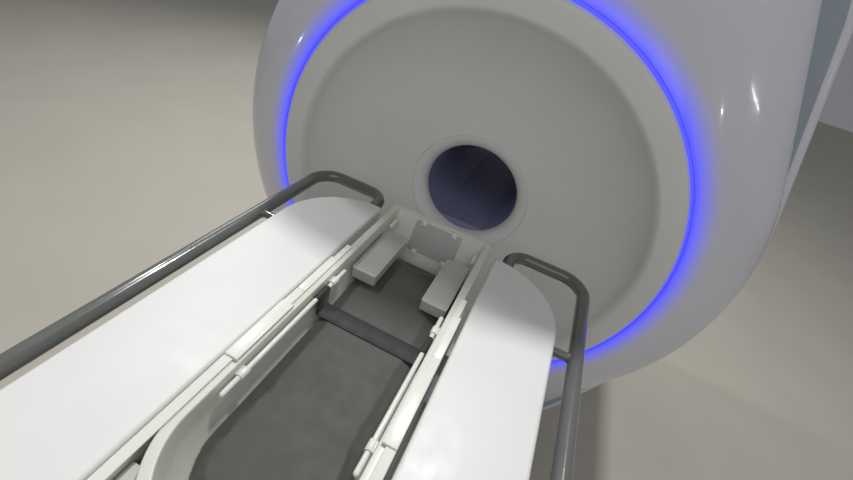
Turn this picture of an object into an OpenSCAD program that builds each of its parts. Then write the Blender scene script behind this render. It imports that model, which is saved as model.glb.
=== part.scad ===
// Small-bore MRI scanner with its docked infant trolley.
// X to the right, Y into the bore, Z up. The origin is on the floor under the isocentre.

/* [Gantry] */
// Height of the bore axis above the floor
axis_h = 1000; // [960:5:1060]
// Distance from the plane of the light ring to the isocentre
iso_depth = 540; // [520:5:580]
// Depth of the gantry behind the plane of the light ring
gantry_d = 1080; // [1050:5:1160]
// Radius of the light ring
ring_r = 550; // [535:1:570]
// Width of the lit gap between the dish and the fascia
light_w = 6; // [5:0.5:8]
// Width of the fascia outside the light ring
fascia_w = 170; // [160:1:185]
// How far the fascia's edge lies behind its front
fascia_d = 85; // [75:1:95]
// Distance from the bore axis up or down to the fascia's end circles
fascia_rise = 400; // [370:5:430]
// Lean of the fascia's flanks, in degrees
fascia_lean = 27; // [22:0.5:30]
// Wall of the moulded covers
cover_t = 8; // [6:0.5:10]
// How far the side covers stand out past the fascia
cover_out = 20; // [15:1:26]
// Lean of the side covers' flanks, in degrees
cover_lean = 19.5; // [17:0.5:23]
// Height of the plinth
plinth_h = 110; // [100:5:120]
// Half the width of the plinth
plinth_w = 440; // [420:5:500]
// Gap of the seams between covers
seam = 3; // [2:0.5:4]

/* [Dish and bore] */
// Radius of the patient bore
bore_r = 141.5; // [138:0.5:146]
// Depth at which the flare meets the bore
mouth_d = 165; // [155:1:175]
// Radius of the flare round the bore's mouth
flare_r = 37; // [30:1:42]
// Width of the flat rim round the dish
rim_w = 63; // [50:1:75]
// Height of the rim in front of the light ring
rim_rise = 14; // [8:0.5:18]
// Height of the deck above the bottom of the bore
deck_rise = 21.6; // [18:0.2:26]
// Wall of the bore liner
liner_t = 8; // [6:0.5:10]
// Thickness of the radio-frequency coil
rf_t = 34; // [28:1:40]
// Thickness of the gradient coil
gradient_t = 50; // [44:1:56]
// Outer radius of the magnet vessel
vessel_r = 620; // [590:5:640]

/* [Trolley] */
// Height of the shelf tops above the bore axis
shelf_rise = 9; // [6:0.5:12]
// Distance from the middle to a shelf's inner edge
shelf_in = 155; // [153:0.5:160]
// Width of a shelf
shelf_w = 176; // [165:1:185]
// Thickness of a shelf
shelf_t = 50; // [46:1:56]
// Distance from the plane of the light ring to the shelf tips
tip_gap = 124; // [110:1:135]
// Length of the shelves
shelf_len = 1170; // [1160:5:1230]
// Radius of the shelves' outer corner
tip_r = 166; // [150:1:170]
// Radius of the handrail tube
tube_r = 15.5; // [13:0.5:17]
// Distance from the middle to the long run of a handrail
rail_x = 383; // [376:1:392]
// Depth of the handrail's axis below the shelf tops
rail_drop = 26; // [24:0.5:28]
// Distance from the middle to the handrail's inner legs
leg_x = 189; // [185:1:196]
// Distance from the shelf tips to the handrail's cross run
rail_ahead = 84; // [76:1:92]
// Distance from the cross run to the handrail's stand-off
stay_y = 264; // [240:1:290]
// Radius of the castor wheels
wheel_r = 50; // [45:1:55]
// Width of the castor wheels
wheel_w = 26; // [22:1:30]
// Trail of the castors
trail = 28; // [22:1:32]

/* [Tray] */
// Length of the tub-shaped patient tray
tray_len = 792; // [780:2:810]
// Length of the board behind the tray's foot
board_len = 358; // [340:2:380]
// Gap between the tray's rim and the wall of the bore
bore_gap = 5.3; // [4:0.1:9]
// Width of the tray's rim along its sides
tray_rim = 17; // [15:0.5:19]
// Width of the tray's rim at the head end
head_rim = 13; // [11:0.5:16]
// Distance from the plane of the light ring to the tray's head end
tray_gap = 85; // [78:1:95]
// Height of the tray's rim above the bore axis
tray_rise = 14; // [12:0.5:16]
// Wall of the tray
tray_t = 5; // [4:0.5:6]
// Thickness of the mattress
mattress_t = 70; // [62:1:75]
// Width of the strap
strap_w = 38; // [30:1:45]

/* [Hidden] */
$fn = 96;
clear = 0.3;
cut = 1;
skin = 0.02;
hull_fn = 64;

// Gantry, measured from the middle of the light ring
// Length of the rear cover, and height above the floor of the side covers' lower end circle
tail_l = 90;
low_centre = 600;
// Set-backs: vessel from the flare and from the rear, plinth and legs from the vessel's ends
vessel_set = [45, 110];
plinth_set = 90;
leg_set = [190, 120];
// Cold head ahead of the isocentre and service turret behind it
cold_set = 130;
turret_set = 120;
fascia_r = ring_r + fascia_w;
cover_r = fascia_r + cover_out;
cover_front = fascia_d + seam;
cover_back = gantry_d - tail_l;
cover_rise = fascia_rise;
cover_low_rise = axis_h - low_centre;
light_in = ring_r - light_w / 2;
light_out = ring_r + light_w / 2;
light_back = 8;
rim_in = ring_r - light_w / 2 - rim_w;
flare_out = bore_r + flare_r;
dish_floor = mouth_d - flare_r;
front_sleeve = 4;
rear_sleeve = 20;
sleeve_end = mouth_d + front_sleeve;
liner_end = gantry_d - flare_r - rear_sleeve - clear;
liner_out = bore_r + liner_t;
rf_out = liner_out + rf_t;
gradient_out = rf_out + gradient_t;
vessel_in = gradient_out + clear;
vessel_front = mouth_d + vessel_set[0];
vessel_back = gantry_d - vessel_set[1];
deck_z = deck_rise - bore_r;
plinth_front = vessel_front + plinth_set;
plinth_back = cover_back;
plinth_r = 120;
frame_w = plinth_w - cover_t - clear;
frame_front = plinth_front + cover_t + clear;
frame_back = plinth_back - cover_t - clear;
plinth_top = -axis_h + plinth_h;
frame_top = plinth_top - cover_t - clear;
cover_floor = plinth_top + clear;
leg_w = 140;
leg_l = 120;
leg_margin = 12;
leg_x_mid = cover_half(cover_floor) - leg_margin - leg_w / 2;
leg_y = [vessel_front + leg_set[0], vessel_back - leg_set[1]];
leg_gap = 2;
leg_top = -0.7 * vessel_r;
bulkhead_t = 10;
// Steps of the covers' rounded front and back edges: how far drawn in, how far from the end
cover_nose = [[14, 0], [6, 5], [1.5, 13], [0, 24]];
cover_tail = [[60, 0], [20, 14], [0, 45]];
coil_set = 30;
turret_y = iso_depth + turret_set;
turret_r = 95;
turret_h = 110;
cold_y = iso_depth - cold_set;
cold_r = 75;
cold_h = 90;
motor_r = 50;
motor_h = 150;

// Trolley and tray, measured from the middle of the light ring
shelf_z = shelf_rise;
shelf_bottom = shelf_z - shelf_t;
shelf_out = shelf_in + shelf_w;
shelf_foot = -tip_gap - shelf_len;
rail_z = shelf_z - rail_drop;
cross_y = -tip_gap + rail_ahead;
cross_foot = shelf_foot - rail_ahead;
bend_out = 60;
bend_in = 45;
socket_d = 30;
stay_r = 0.6 * tube_r;
head_set = 110;
deck_gap = 1.2;
tray_floor = deck_z + deck_gap;
tray_foot = -tray_gap - tray_len;
board_foot = tray_foot - board_len;
tray_w = sqrt(pow(bore_r, 2) - pow(tray_rise, 2)) - bore_gap;
foot_y = tray_foot + tray_w;
tray_in = tray_w - tray_rim;
tray_under = 6;
tray_corner = 8;
rim_corner = 14;
tub_depth = tray_rise - tray_floor - tray_t;
// The tub's wall from the rim to the floor: share of its depth, share of its width
tub_curve = [[0, 1], [0.33, 0.985], [0.55, 0.93], [0.75, 0.79], [0.9, 0.63], [1, 0.46]];
head_run = 67;
foot_run = 20;
pan_gap = 1.5;
pan_in = tray_w + pan_gap;
pan_t = 9;
pan_out = pan_in + pan_t;
pan_floor = tray_floor - clear;
pan_base = 10;
pan_bottom = pan_floor - pan_base;
pan_head = -317;
pan_past = 18;
pan_foot = board_foot - pan_past;
rail_seat = -6;
guide_gap = 1;
guide_top = tray_rise + guide_gap;
guide_in = tray_w + guide_gap;
seam_y = -481;
keeper_y = [-653, -521];
keeper_in = tray_w - 13;
keeper_t = 6;
// Top of the guide rails: how far it laps over the tray's rim, its thickness, and its narrower head end
cap_in = tray_w - 6;
cap_t = 2.5;
nose_l = 52;
nose_step = 4.5;
beam_top = 190;
beam_h = 40;
beam_x = 270;
castor_y = [-390, -1170];
axle_r = 6;
fork_top = beam_top - beam_h - clear;
bar_r = 4.5;
bar_z = -2;
collar_t = 2.3;
bar_x = tray_inner(bar_z - collar_t - bar_r) - bar_r - collar_t - clear;
bar_y = [-700, -370];
clip_y = [-411, -655];
strap_y = -452;
pad_y = [-340, -178];
pad_in = 54;
pad_gap = 2;
pad_top = -12;
board_top = -8;
board_t = 6;
web_x = 62;
web_t = 6;

// Places a child in the frame of the light ring's middle
module at_ring() translate([0, -iso_depth, axis_h]) children();

// Turns a solid of revolution so that its axis points into the bore
module along_bore() rotate([-90, 0, 0]) children();

// Extrudes an upright outline from depth a to depth b
module deep(a, b) translate([0, b, 0]) rotate([90, 0, 0]) linear_extrude(b - a) children();

// A ring about the bore axis from depth a to depth b
module bore_ring(r_in, r_out, a, b)
    at_ring() translate([0, a, 0]) along_bore() difference() {
        cylinder(r = r_out, h = b - a);
        translate([0, 0, -cut]) cylinder(r = r_in, h = b - a + 2 * cut);
    }

// Radius of an end circle that keeps the flanks tangent to the main circle
function end_r(r, rise, lean) = r - rise * sin(lean);

// Half the width inside the side covers at height z, below their lower end circle
function cover_half(z) =
    sqrt(pow(end_r(cover_r, cover_low_rise, cover_lean) - cover_t, 2) - pow(z + cover_low_rise, 2));

// One thin slice of the fascia, drawn in by d, at depth y
module fascia_slice(d, y)
    deep(y, y + skin) {
        circle(r = fascia_r - d, $fn = hull_fn);
        for (s = [-1, 1])
            translate([0, s * fascia_rise])
                circle(r = end_r(fascia_r, fascia_rise, fascia_lean) - d, $fn = hull_fn);
    }

// Share of the fascia's depth that its bulge takes, and where the bulge starts outside the light
bulge_share = 0.8;
bulge_start = 20;
// The bulged body of the fascia, with its front drawn back by t and its edge drawn in by t
module fascia_bulge(t, back)
    hull() {
        for (k = [0 : 4]) {
            a = 90 * k / 4;
            fascia_slice(t + (fascia_w - bulge_start) * (1 - sin(a)),
                         t + fascia_d * bulge_share * (1 - cos(a)));
        }
        fascia_slice(t, back);
    }

module front_fascia() {
    color([0.93, 0.93, 0.95])
    at_ring() difference() {
        fascia_bulge(0, fascia_d - skin);
        difference() {
            fascia_bulge(cover_t, fascia_d + cut);
            along_bore() cylinder(r = light_out + cover_t, h = fascia_d);
        }
        translate([0, -cut, 0]) along_bore() cylinder(r = light_out + clear, h = fascia_d + 2 * cut);
        translate([0, fascia_d / 2, 0]) along_bore()
            cylinder(r = light_out + cover_t + cut, h = fascia_d);
    }
}

// Depth of the dish at radius r, a quarter of a superellipse
function dish_depth(r) =
    let(u = (r - flare_out) / (rim_in - flare_out))
    -rim_rise + (dish_floor + rim_rise) * pow(1 - pow(u, 2.2), 1 / 1.7);
dish_steps = 14;
// Outer edge of the rim: how far in from the light, share of the rim's rise
rim_edge = [[0, 0], [5, 0.6], [14, 1]];
rim_step = 4;
channel_in = light_in - 12;
function dish_curve(t) = [
    for (k = [0 : dish_steps])
        let(r = rim_in - (rim_in - flare_out) * (1 - cos(90 * k / dish_steps)))
        [r, dish_depth(r) + t]
];

module front_dish() {
    color([0.62, 0.62, 0.62])
    at_ring() along_bore() rotate_extrude()
        polygon(concat(
            [[light_in - clear, light_back]],
            [for (e = rim_edge) [light_in - clear - e[0], -rim_rise * e[1]]],
            dish_curve(0),
            [for (k = [dish_steps : -1 : 1]) dish_curve(cover_t)[k]],
            [[rim_in + cover_t, -rim_rise + cover_t + rim_step], [channel_in, -rim_rise + cover_t + rim_step],
             [channel_in, light_back]]));
}

// Profile of a flare that turns from a flat face into the bore
module flare_profile(front, mouth, back) {
    difference() {
        translate([bore_r, front]) square([flare_r, back - front]);
        translate([bore_r + cover_t, mouth]) square([flare_r, back - front]);
        difference() {
            translate([bore_r - cut, front - cut]) square([flare_r + cut, mouth - front + cut]);
            translate([bore_r + flare_r, mouth]) circle(r = flare_r);
        }
        translate([bore_r + flare_r, mouth]) circle(r = flare_r - cover_t);
    }
}

module bore_flare() {
    color([0.68, 0.68, 0.68])
    at_ring() along_bore() rotate_extrude()
        flare_profile(dish_floor, mouth_d, sleeve_end);
}

module rear_flare() {
    color([0.68, 0.68, 0.68])
    at_ring() translate([0, gantry_d, 0]) rotate([90, 0, 0]) rotate_extrude()
        flare_profile(0, flare_r, flare_r + rear_sleeve);
}

module light_ring() {
    color([0.35, 0.38, 1.0])
    bore_ring(light_in, light_out, 1, light_back);
}

module light_channel() {
    color([0.75, 0.76, 0.78])
    bore_ring(channel_in, light_out, light_back, fascia_d);
}

// One slice of the covers behind the fascia, drawn in by d, from depth a to depth b
module cover_slice(d, a, b)
    deep(a, b) {
        circle(r = cover_r - d, $fn = hull_fn);
        for (z = [-cover_low_rise, cover_rise])
            translate([0, z]) circle(r = end_r(cover_r, abs(z), cover_lean) - d, $fn = hull_fn);
    }

// Everything above height z
module above(z) translate([-2 * cover_r, -cut, z]) cube([4 * cover_r, gantry_d + 3 * cut, 3 * axis_h]);

// The full body of the side covers, drawn in by t
module cover_body(t, front, back)
    hull() {
        for (n = cover_nose)
            cover_slice(t + n[0], front + n[1], n[0] == 0 ? back : front + n[1] + skin);
    }

// The full body of the rear cover, drawn in by t
module tail_body(t, front)
    hull() {
        for (n = cover_tail)
            cover_slice(t + n[0], n[0] == 0 ? front : gantry_d - t - n[1] - skin, gantry_d - t - n[1]);
    }

// Shafts for the magnet's legs from height a to height b, wider than them by d all round
module leg_shafts(d, a, b)
    for (s = [-1, 1], y = leg_y)
        translate([s * leg_x_mid - leg_w / 2 - d, y - leg_l / 2 - d, a])
            cube([leg_w + 2 * d, leg_l + 2 * d, b - a]);

module side_cover(side) {
    color([0.80, 0.81, 0.84])
    at_ring() difference() {
        intersection() {
            cover_body(0, cover_front, cover_back);
            above(cover_floor);
            translate([side > 0 ? seam / 2 : -cover_r - cut, 0, -axis_h])
                cube([cover_r + cut - seam / 2, gantry_d, 3 * axis_h]);
        }
        intersection() {
            cover_body(cover_t, cover_front - cut, cover_back + cut);
            above(cover_floor + cover_t);
        }
        leg_shafts(leg_gap, cover_floor - cut, cover_floor + cover_t + cut);
    }
}
module side_cover_left() { side_cover(-1); }
module side_cover_right() { side_cover(1); }

module rear_cover() {
    color([0.86, 0.86, 0.88])
    at_ring() difference() {
        intersection() {
            tail_body(0, cover_back + seam);
            above(cover_floor);
        }
        intersection() {
            tail_body(cover_t, cover_back);
            above(cover_floor + cover_t);
        }
        translate([0, gantry_d - 2 * cover_t, 0]) along_bore()
            cylinder(r = flare_out + clear, h = 3 * cover_t);
    }
}

// Upright bulkhead that stands in the covers, drawn in by d, with a round opening
module bulkhead(d, front, back, opening)
    at_ring() intersection() {
        difference() {
            hull() cover_slice(d, front, back);
            translate([0, front - cut, 0]) along_bore() cylinder(r = opening, h = back - front + 2 * cut);
        }
        above(cover_floor + cover_t + clear);
    }

module front_frame() {
    color([0.55, 0.57, 0.60])
    bulkhead(cover_nose[0][0] + cover_t + clear, fascia_d, fascia_d + bulkhead_t, rim_in);
}

module rear_frame() {
    color([0.55, 0.57, 0.60])
    bulkhead(cover_t + clear, cover_back - bulkhead_t, cover_back + seam + bulkhead_t, rim_in);
}

module bore_liner() {
    color([0.10, 0.11, 0.22])
    bore_ring(bore_r, liner_out, sleeve_end + clear, liner_end);
}

module bore_deck() {
    color([0.20, 0.21, 0.30])
    at_ring() intersection() {
        translate([0, sleeve_end + clear, 0]) along_bore()
            cylinder(r = bore_r, h = liner_end - sleeve_end - clear);
        translate([-bore_r, sleeve_end, -bore_r - cut])
            cube([2 * bore_r, gantry_d, deck_rise + cut]);
    }
}

module rf_coil() {
    color([0.80, 0.78, 0.70])
    bore_ring(liner_out + clear, rf_out, vessel_front + 2 * coil_set, vessel_back - 2 * coil_set);
}

module gradient_coil() {
    color([0.70, 0.45, 0.25])
    bore_ring(rf_out + clear, gradient_out, vessel_front + coil_set, vessel_back - coil_set);
}

module magnet_vessel() {
    color([0.78, 0.79, 0.80])
    bore_ring(vessel_in, vessel_r, vessel_front, vessel_back);
}

// A service neck that stands on top of the vessel at depth y
module neck(y, r, h)
    at_ring() translate([0, y, 0]) difference() {
        cylinder(r = r, h = vessel_r + h);
        translate([0, -r - cut, 0]) along_bore() cylinder(r = vessel_r + clear, h = 2 * r + 2 * cut);
    }

module cold_head() {
    color([0.70, 0.71, 0.72])
    union() {
        neck(cold_y, cold_r, cold_h);
        at_ring() translate([0, cold_y, vessel_r + cold_h]) cylinder(r = motor_r, h = motor_h);
    }
}

module service_turret() {
    color([0.72, 0.73, 0.74])
    neck(turret_y, turret_r, turret_h);
}

module magnet_legs() {
    color([0.45, 0.46, 0.48])
    at_ring() difference() {
        leg_shafts(0, frame_top, leg_top);
        translate([0, vessel_front, 0]) along_bore()
            cylinder(r = vessel_r + clear, h = vessel_back - vessel_front);
    }
}

// Rounded slab between two corners, from height a to height b
module slab(x_a, x_b, y_a, y_b, r, a, b)
    translate([0, 0, a]) linear_extrude(b - a) hull()
        for (x = [x_a + r, x_b - r], y = [y_a + r, y_b - r])
            translate([x, y]) circle(r = r, $fn = 32);

// Steel frame under the magnet, with open bays between its two crossbars
bay_in = 50;
bay_out = frame_w - 90;
bay_set = 30;
bay_r = 10;
module base_frame() {
    color([0.40, 0.41, 0.43])
    at_ring() difference() {
        slab(-frame_w, frame_w, frame_front, frame_back, plinth_r - cover_t, -axis_h, frame_top);
        for (s = [-1, 1])
            mirror([s < 0 ? 1 : 0, 0, 0])
                slab(bay_in, bay_out, leg_y[0] + leg_l / 2 + bay_set, leg_y[1] - leg_l / 2 - bay_set, bay_r,
                     -axis_h - cut, frame_top + cut);
    }
}

// Cover of the steel frame, open below and clear of the floor
plinth_lift = 6;
module plinth() {
    color([0.72, 0.73, 0.76])
    at_ring() difference() {
        slab(-plinth_w, plinth_w, plinth_front, plinth_back, plinth_r, -axis_h + plinth_lift, plinth_top);
        slab(-plinth_w + cover_t, plinth_w - cover_t, plinth_front + cover_t, plinth_back - cover_t,
             plinth_r - cover_t, -axis_h, plinth_top - cover_t);
        leg_shafts(leg_gap, plinth_top - cover_t - cut, plinth_top + cut);
    }
}

// Trough of the trolley that carries the tray
module cradle_pan() {
    color([0.88, 0.88, 0.85])
    at_ring() difference() {
        translate([-pan_out, pan_foot, pan_bottom])
            cube([2 * pan_out, pan_head - pan_foot, rail_seat - pan_bottom]);
        translate([-pan_in, pan_foot + pan_t, pan_floor])
            cube([2 * pan_in, pan_head - pan_foot, rail_seat - pan_floor + cut]);
    }
}

// Length of a guide rail from y_a to y_b that reaches out to x = outer
module rail_length(y_a, y_b, outer) {
    translate([guide_in, y_a, rail_seat]) cube([outer - guide_in, y_b - y_a, guide_top - rail_seat]);
    translate([cap_in, y_a, guide_top]) cube([outer - cap_in, y_b - y_a, cap_t]);
}

// White guide rail on the wall of the pan, from y_a to y_b, with a narrower nose
module side_rail(side, y_a, y_b, nose, keeper) {
    color([0.95, 0.95, 0.90])
    at_ring() mirror([side < 0 ? 1 : 0, 0, 0]) {
        rail_length(y_a, y_b - nose, pan_out);
        if (nose > 0)
            rail_length(y_b - nose - cut, y_b, pan_out - nose_step);
        if (keeper)
            translate([keeper_in, keeper_y[0], guide_top])
                cube([pan_out - keeper_in, keeper_y[1] - keeper_y[0], keeper_t]);
    }
}
module side_rail_front_left() { side_rail(-1, seam_y + clear, pan_head, nose_l, false); }
module side_rail_front_right() { side_rail(1, seam_y + clear, pan_head, nose_l, false); }
module side_rail_rear_left() { side_rail(-1, pan_foot, seam_y, 0, true); }
module side_rail_rear_right() { side_rail(1, pan_foot, seam_y, 0, true); }

// Outline of a right-hand shelf, drawn in by d
module shelf_outline(d) {
    small = 12;
    foot = 36;
    hull() {
        intersection() {
            translate([shelf_out - tip_r, -tip_gap - tip_r]) circle(r = tip_r - d, $fn = 2 * hull_fn);
            translate([shelf_out - tip_r, -tip_gap - tip_r]) square(tip_r);
        }
        translate([shelf_in + small, -tip_gap - small]) circle(r = small - d, $fn = 32);
        translate([shelf_in + foot, shelf_foot + foot]) circle(r = foot - d, $fn = 32);
        translate([shelf_out - foot, shelf_foot + foot]) circle(r = foot - d, $fn = 32);
    }
}

// Rounded top edge of the shelves: how far drawn in, how far below the top
shelf_edge = [[0, 10], [2.5, 4], [9, 0]];
shelf_under = 4;
// A shelf with rounded top edges and the sockets of its handrail
module shelf(side) {
    color([0.95, 0.95, 0.94])
    at_ring() mirror([side < 0 ? 1 : 0, 0, 0]) difference() {
        hull() {
            translate([0, 0, shelf_bottom]) linear_extrude(skin) shelf_outline(shelf_under);
            translate([0, 0, shelf_bottom + shelf_under]) linear_extrude(shelf_t - shelf_under - shelf_edge[0][1])
                shelf_outline(0);
            for (e = [shelf_edge[1], shelf_edge[2]])
                translate([0, 0, shelf_z - e[1] - skin]) linear_extrude(skin) shelf_outline(e[0]);
        }
        translate([leg_x, -tip_gap - socket_d, rail_z]) along_bore()
            cylinder(r = tube_r + clear, h = 2 * socket_d);
        translate([leg_x, shelf_foot - cut, rail_z]) along_bore()
            cylinder(r = tube_r + clear, h = socket_d + cut);
    }
}
module shelf_left() { shelf(-1); }
module shelf_right() { shelf(1); }

// A quarter bend of tube in the plane of the rail, centred at p
module bend(p, r, start)
    translate([p[0], p[1], rail_z]) rotate([0, 0, start]) rotate_extrude(angle = 90)
        translate([r, 0]) circle(r = tube_r);

// A straight run of tube from a to b in the plane of the rail
module run(a, b) {
    d = b - a;
    translate([a[0], a[1], rail_z]) rotate([0, 0, atan2(d[1], d[0])]) rotate([0, 90, 0])
        cylinder(r = tube_r, h = norm(d));
}

module handrail(side) {
    color([0.36, 0.38, 0.38])
    at_ring() mirror([side < 0 ? 1 : 0, 0, 0]) {
        run([leg_x, -tip_gap - socket_d + cut], [leg_x, cross_y - bend_in]);
        bend([leg_x + bend_in, cross_y - bend_in], bend_in, 90);
        run([leg_x + bend_in, cross_y], [rail_x - bend_out, cross_y]);
        bend([rail_x - bend_out, cross_y - bend_out], bend_out, 0);
        run([rail_x, cross_y - bend_out], [rail_x, cross_foot + bend_out]);
        bend([rail_x - bend_out, cross_foot + bend_out], bend_out, 270);
        run([rail_x - bend_out, cross_foot], [leg_x + bend_in, cross_foot]);
        bend([leg_x + bend_in, cross_foot + bend_in], bend_in, 180);
        run([leg_x, cross_foot + bend_in], [leg_x, shelf_foot + socket_d - cut]);
        for (y = [cross_y - stay_y, cross_foot + stay_y])
            translate([shelf_out + clear, y, rail_z]) rotate([0, 90, 0])
                cylinder(r = stay_r, h = rail_x - shelf_out - clear);
    }
}
module handrail_left() { handrail(-1); }
module handrail_right() { handrail(1); }

bracket_end = [80, 120];
bracket_y = [pan_head - bracket_end[0], pan_foot + bracket_end[1]];
bracket_w = 40;
bracket_set = 30;
bracket_tip = 10;
bracket_root = 40;
bracket_foot = 20;
module shelf_brackets() {
    tip_x = shelf_out - bracket_set;
    foot_z = pan_bottom + bracket_foot;
    color([0.72, 0.73, 0.74])
    at_ring() for (s = [-1, 1], y = bracket_y)
        mirror([s < 0 ? 1 : 0, 0, 0]) translate([0, y + bracket_w / 2, 0]) rotate([90, 0, 0])
            linear_extrude(bracket_w)
                polygon([[pan_out, shelf_bottom], [tip_x, shelf_bottom], [tip_x, shelf_bottom - bracket_tip],
                         [pan_out + bracket_root, foot_z], [pan_out, foot_z]]);
}

column_y = [-980, -580];
column_w = 105;
column_r = 45;
plate_out = 20;
plate_t = 12;
plate_r = 30;
// End plate of the column, from height a to height b
module column_plate(a, b)
    slab(-column_w - plate_out, column_w + plate_out, column_y[0] - plate_out, column_y[1] + plate_out,
         plate_r, a, b);
module column() {
    color([0.90, 0.90, 0.90])
    at_ring() {
        floor_z = -axis_h + beam_top;
        slab(-column_w, column_w, column_y[0], column_y[1], column_r, floor_z + plate_t,
             pan_bottom - plate_t);
        column_plate(floor_z, floor_z + plate_t);
        column_plate(pan_bottom - plate_t, pan_bottom);
    }
}

beam_w = 76;
beam_end = 53;
beam_r = 30;
tie_r = 5;
module chassis() {
    color([0.80, 0.80, 0.80])
    translate([0, -iso_depth, 0]) {
        for (s = [-1, 1])
            slab(s * beam_x - beam_w / 2, s * beam_x + beam_w / 2, castor_y[1] - beam_end,
                 castor_y[0] + beam_end, beam_r, beam_top - beam_h, beam_top);
        for (y = column_y)
            slab(-beam_x, beam_x, y - beam_w / 2, y + beam_w / 2, tie_r, beam_top - beam_h, beam_top);
        slab(-column_w - plate_out, column_w + plate_out, column_y[0], column_y[1], tie_r, beam_top - beam_h,
             beam_top);
    }
}

// Place of castor k, counted from the front left
function castor_at(k) = [(k % 2 == 0 ? -1 : 1) * beam_x, -iso_depth + castor_y[floor(k / 2)], 0];

// Castor fork: swivel head, crown and two ears
swivel_r = 26;
swivel_h = 18;
crown_l = 44;
crown_h = 10;
ear_t = 5;
ear_r = 14;
ear_root = 14;
wheel_side = 2;
axle_out = 2;
fork_fit = 0.03;
wheel_fit = 0.05;
tread_edge = 4;
fork_in = wheel_w / 2 + wheel_side;
fork_out = fork_in + ear_t;
crown_top = fork_top - swivel_h;
module castor_fork(k) {
    color([0.60, 0.61, 0.62])
    translate(castor_at(k)) difference() {
        union() {
            translate([0, 0, crown_top]) cylinder(r = swivel_r, h = swivel_h);
            for (s = [-1, 1])
                translate([s > 0 ? fork_in : -fork_out, 0, 0]) rotate([90, 0, 90]) linear_extrude(ear_t)
                    hull() {
                        translate([-trail, wheel_r]) circle(r = ear_r, $fn = 32);
                        translate([-crown_l / 2, crown_top - ear_root]) square([crown_l, ear_root]);
                    }
            translate([-fork_out, -crown_l / 2, crown_top - crown_h]) cube([2 * fork_out, crown_l, crown_h]);
        }
        translate([-fork_out - cut, -trail, wheel_r]) rotate([0, 90, 0])
            cylinder(r = axle_r + fork_fit, h = 2 * (fork_out + cut));
    }
}
module castor_fork_1() { castor_fork(0); }
module castor_fork_2() { castor_fork(1); }
module castor_fork_3() { castor_fork(2); }
module castor_fork_4() { castor_fork(3); }

module castor_axle(k) {
    half = fork_out + axle_out;
    color([0.75, 0.76, 0.77])
    translate(castor_at(k) + [-half, -trail, wheel_r]) rotate([0, 90, 0]) cylinder(r = axle_r, h = 2 * half);
}
module castor_axle_1() { castor_axle(0); }
module castor_axle_2() { castor_axle(1); }
module castor_axle_3() { castor_axle(2); }
module castor_axle_4() { castor_axle(3); }

module castor_wheel(k) {
    color([0.35, 0.35, 0.36])
    translate(castor_at(k) + [-wheel_w / 2, -trail, wheel_r]) rotate([0, 90, 0]) rotate_extrude()
        polygon([[axle_r + wheel_fit, 0], [wheel_r - tread_edge, 0], [wheel_r, tread_edge],
                 [wheel_r, wheel_w - tread_edge], [wheel_r - tread_edge, wheel_w],
                 [axle_r + wheel_fit, wheel_w]]);
}
module castor_wheel_1() { castor_wheel(0); }
module castor_wheel_2() { castor_wheel(1); }
module castor_wheel_3() { castor_wheel(2); }
module castor_wheel_4() { castor_wheel(3); }

// Outline of half width w with a round foot about foot_c and a straight head with corners of radius r
module tray_plan(w, foot_c, head, r)
    hull() {
        translate([0, foot_c]) circle(r = w, $fn = hull_fn);
        for (s = [-1, 1]) translate([s * (w - r), head - r]) circle(r = r, $fn = 32);
    }

// Half width of the tray's inside at height z
function tray_inner(z) = tray_in * lookup((tray_rise - z) / tub_depth, tub_curve);

// The tub's hollow, made larger by t and lowered by t at the floor
module tub_form(t, top)
    hull() for (n = tub_curve)
        translate([0, 0, n[0] == 0 ? top : tray_rise - n[0] * tub_depth - (n[0] == 1 ? t : 0)])
            linear_extrude(skin)
                tray_plan(tray_in * n[1] + t, foot_y + foot_run * n[0],
                          -tray_gap - head_rim - head_run * n[0] + t, tray_corner + t);

module tray() {
    color([0.80, 0.80, 0.77])
    at_ring() difference() {
        union() {
            translate([0, 0, tray_rise - tray_under]) linear_extrude(tray_under)
                tray_plan(tray_w, foot_y, -tray_gap, rim_corner);
            tub_form(tray_t, tray_rise - tray_under / 2);
        }
        tub_form(0, tray_rise + skin);
    }
}

// Board that pushes the tray, open below, with two webs that run on the floor of the pan
module foot_board() {
    color([0.72, 0.72, 0.69])
    at_ring() difference() {
        union() {
            translate([-tray_w, board_foot, board_top - board_t])
                cube([2 * tray_w, board_len + tray_w / 2, board_t]);
            for (s = [-1, 1])
                translate([s * web_x - web_t / 2, board_foot, tray_floor])
                    cube([web_t, board_len, board_top - board_t / 2 - tray_floor]);
            translate([-web_x, board_foot, tray_floor])
                cube([2 * web_x, web_t, board_top - board_t / 2 - tray_floor]);
        }
        translate([0, foot_y, tray_floor - cut])
            cylinder(r = tray_inner(board_top) + tray_t + clear, h = tub_depth + 2 * cut);
        translate([-tray_w - cut, foot_y, tray_floor - cut])
            cube([2 * tray_w + 2 * cut, tray_len, tub_depth]);
    }
}

mattress_z = tray_floor + tray_t + clear;
mattress_top = mattress_z + mattress_t;
mattress_gap = 1;
mattress_corner = 20;
module mattress() {
    color([0.32, 0.32, 0.29])
    at_ring() hull() for (k = [0 : 4]) {
        z = mattress_z + k * (mattress_t - skin) / 4;
        translate([0, 0, z]) linear_extrude(skin)
            tray_plan(tray_inner(z) - mattress_gap, foot_y + foot_run, -tray_gap - head_set, mattress_corner);
    }
}

// Distance of the tray's sloping head wall from the light ring's plane at height z
function head_wall(z) =
    -tray_gap - head_rim - (tray_rise - z) * head_run / tub_depth;

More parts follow.
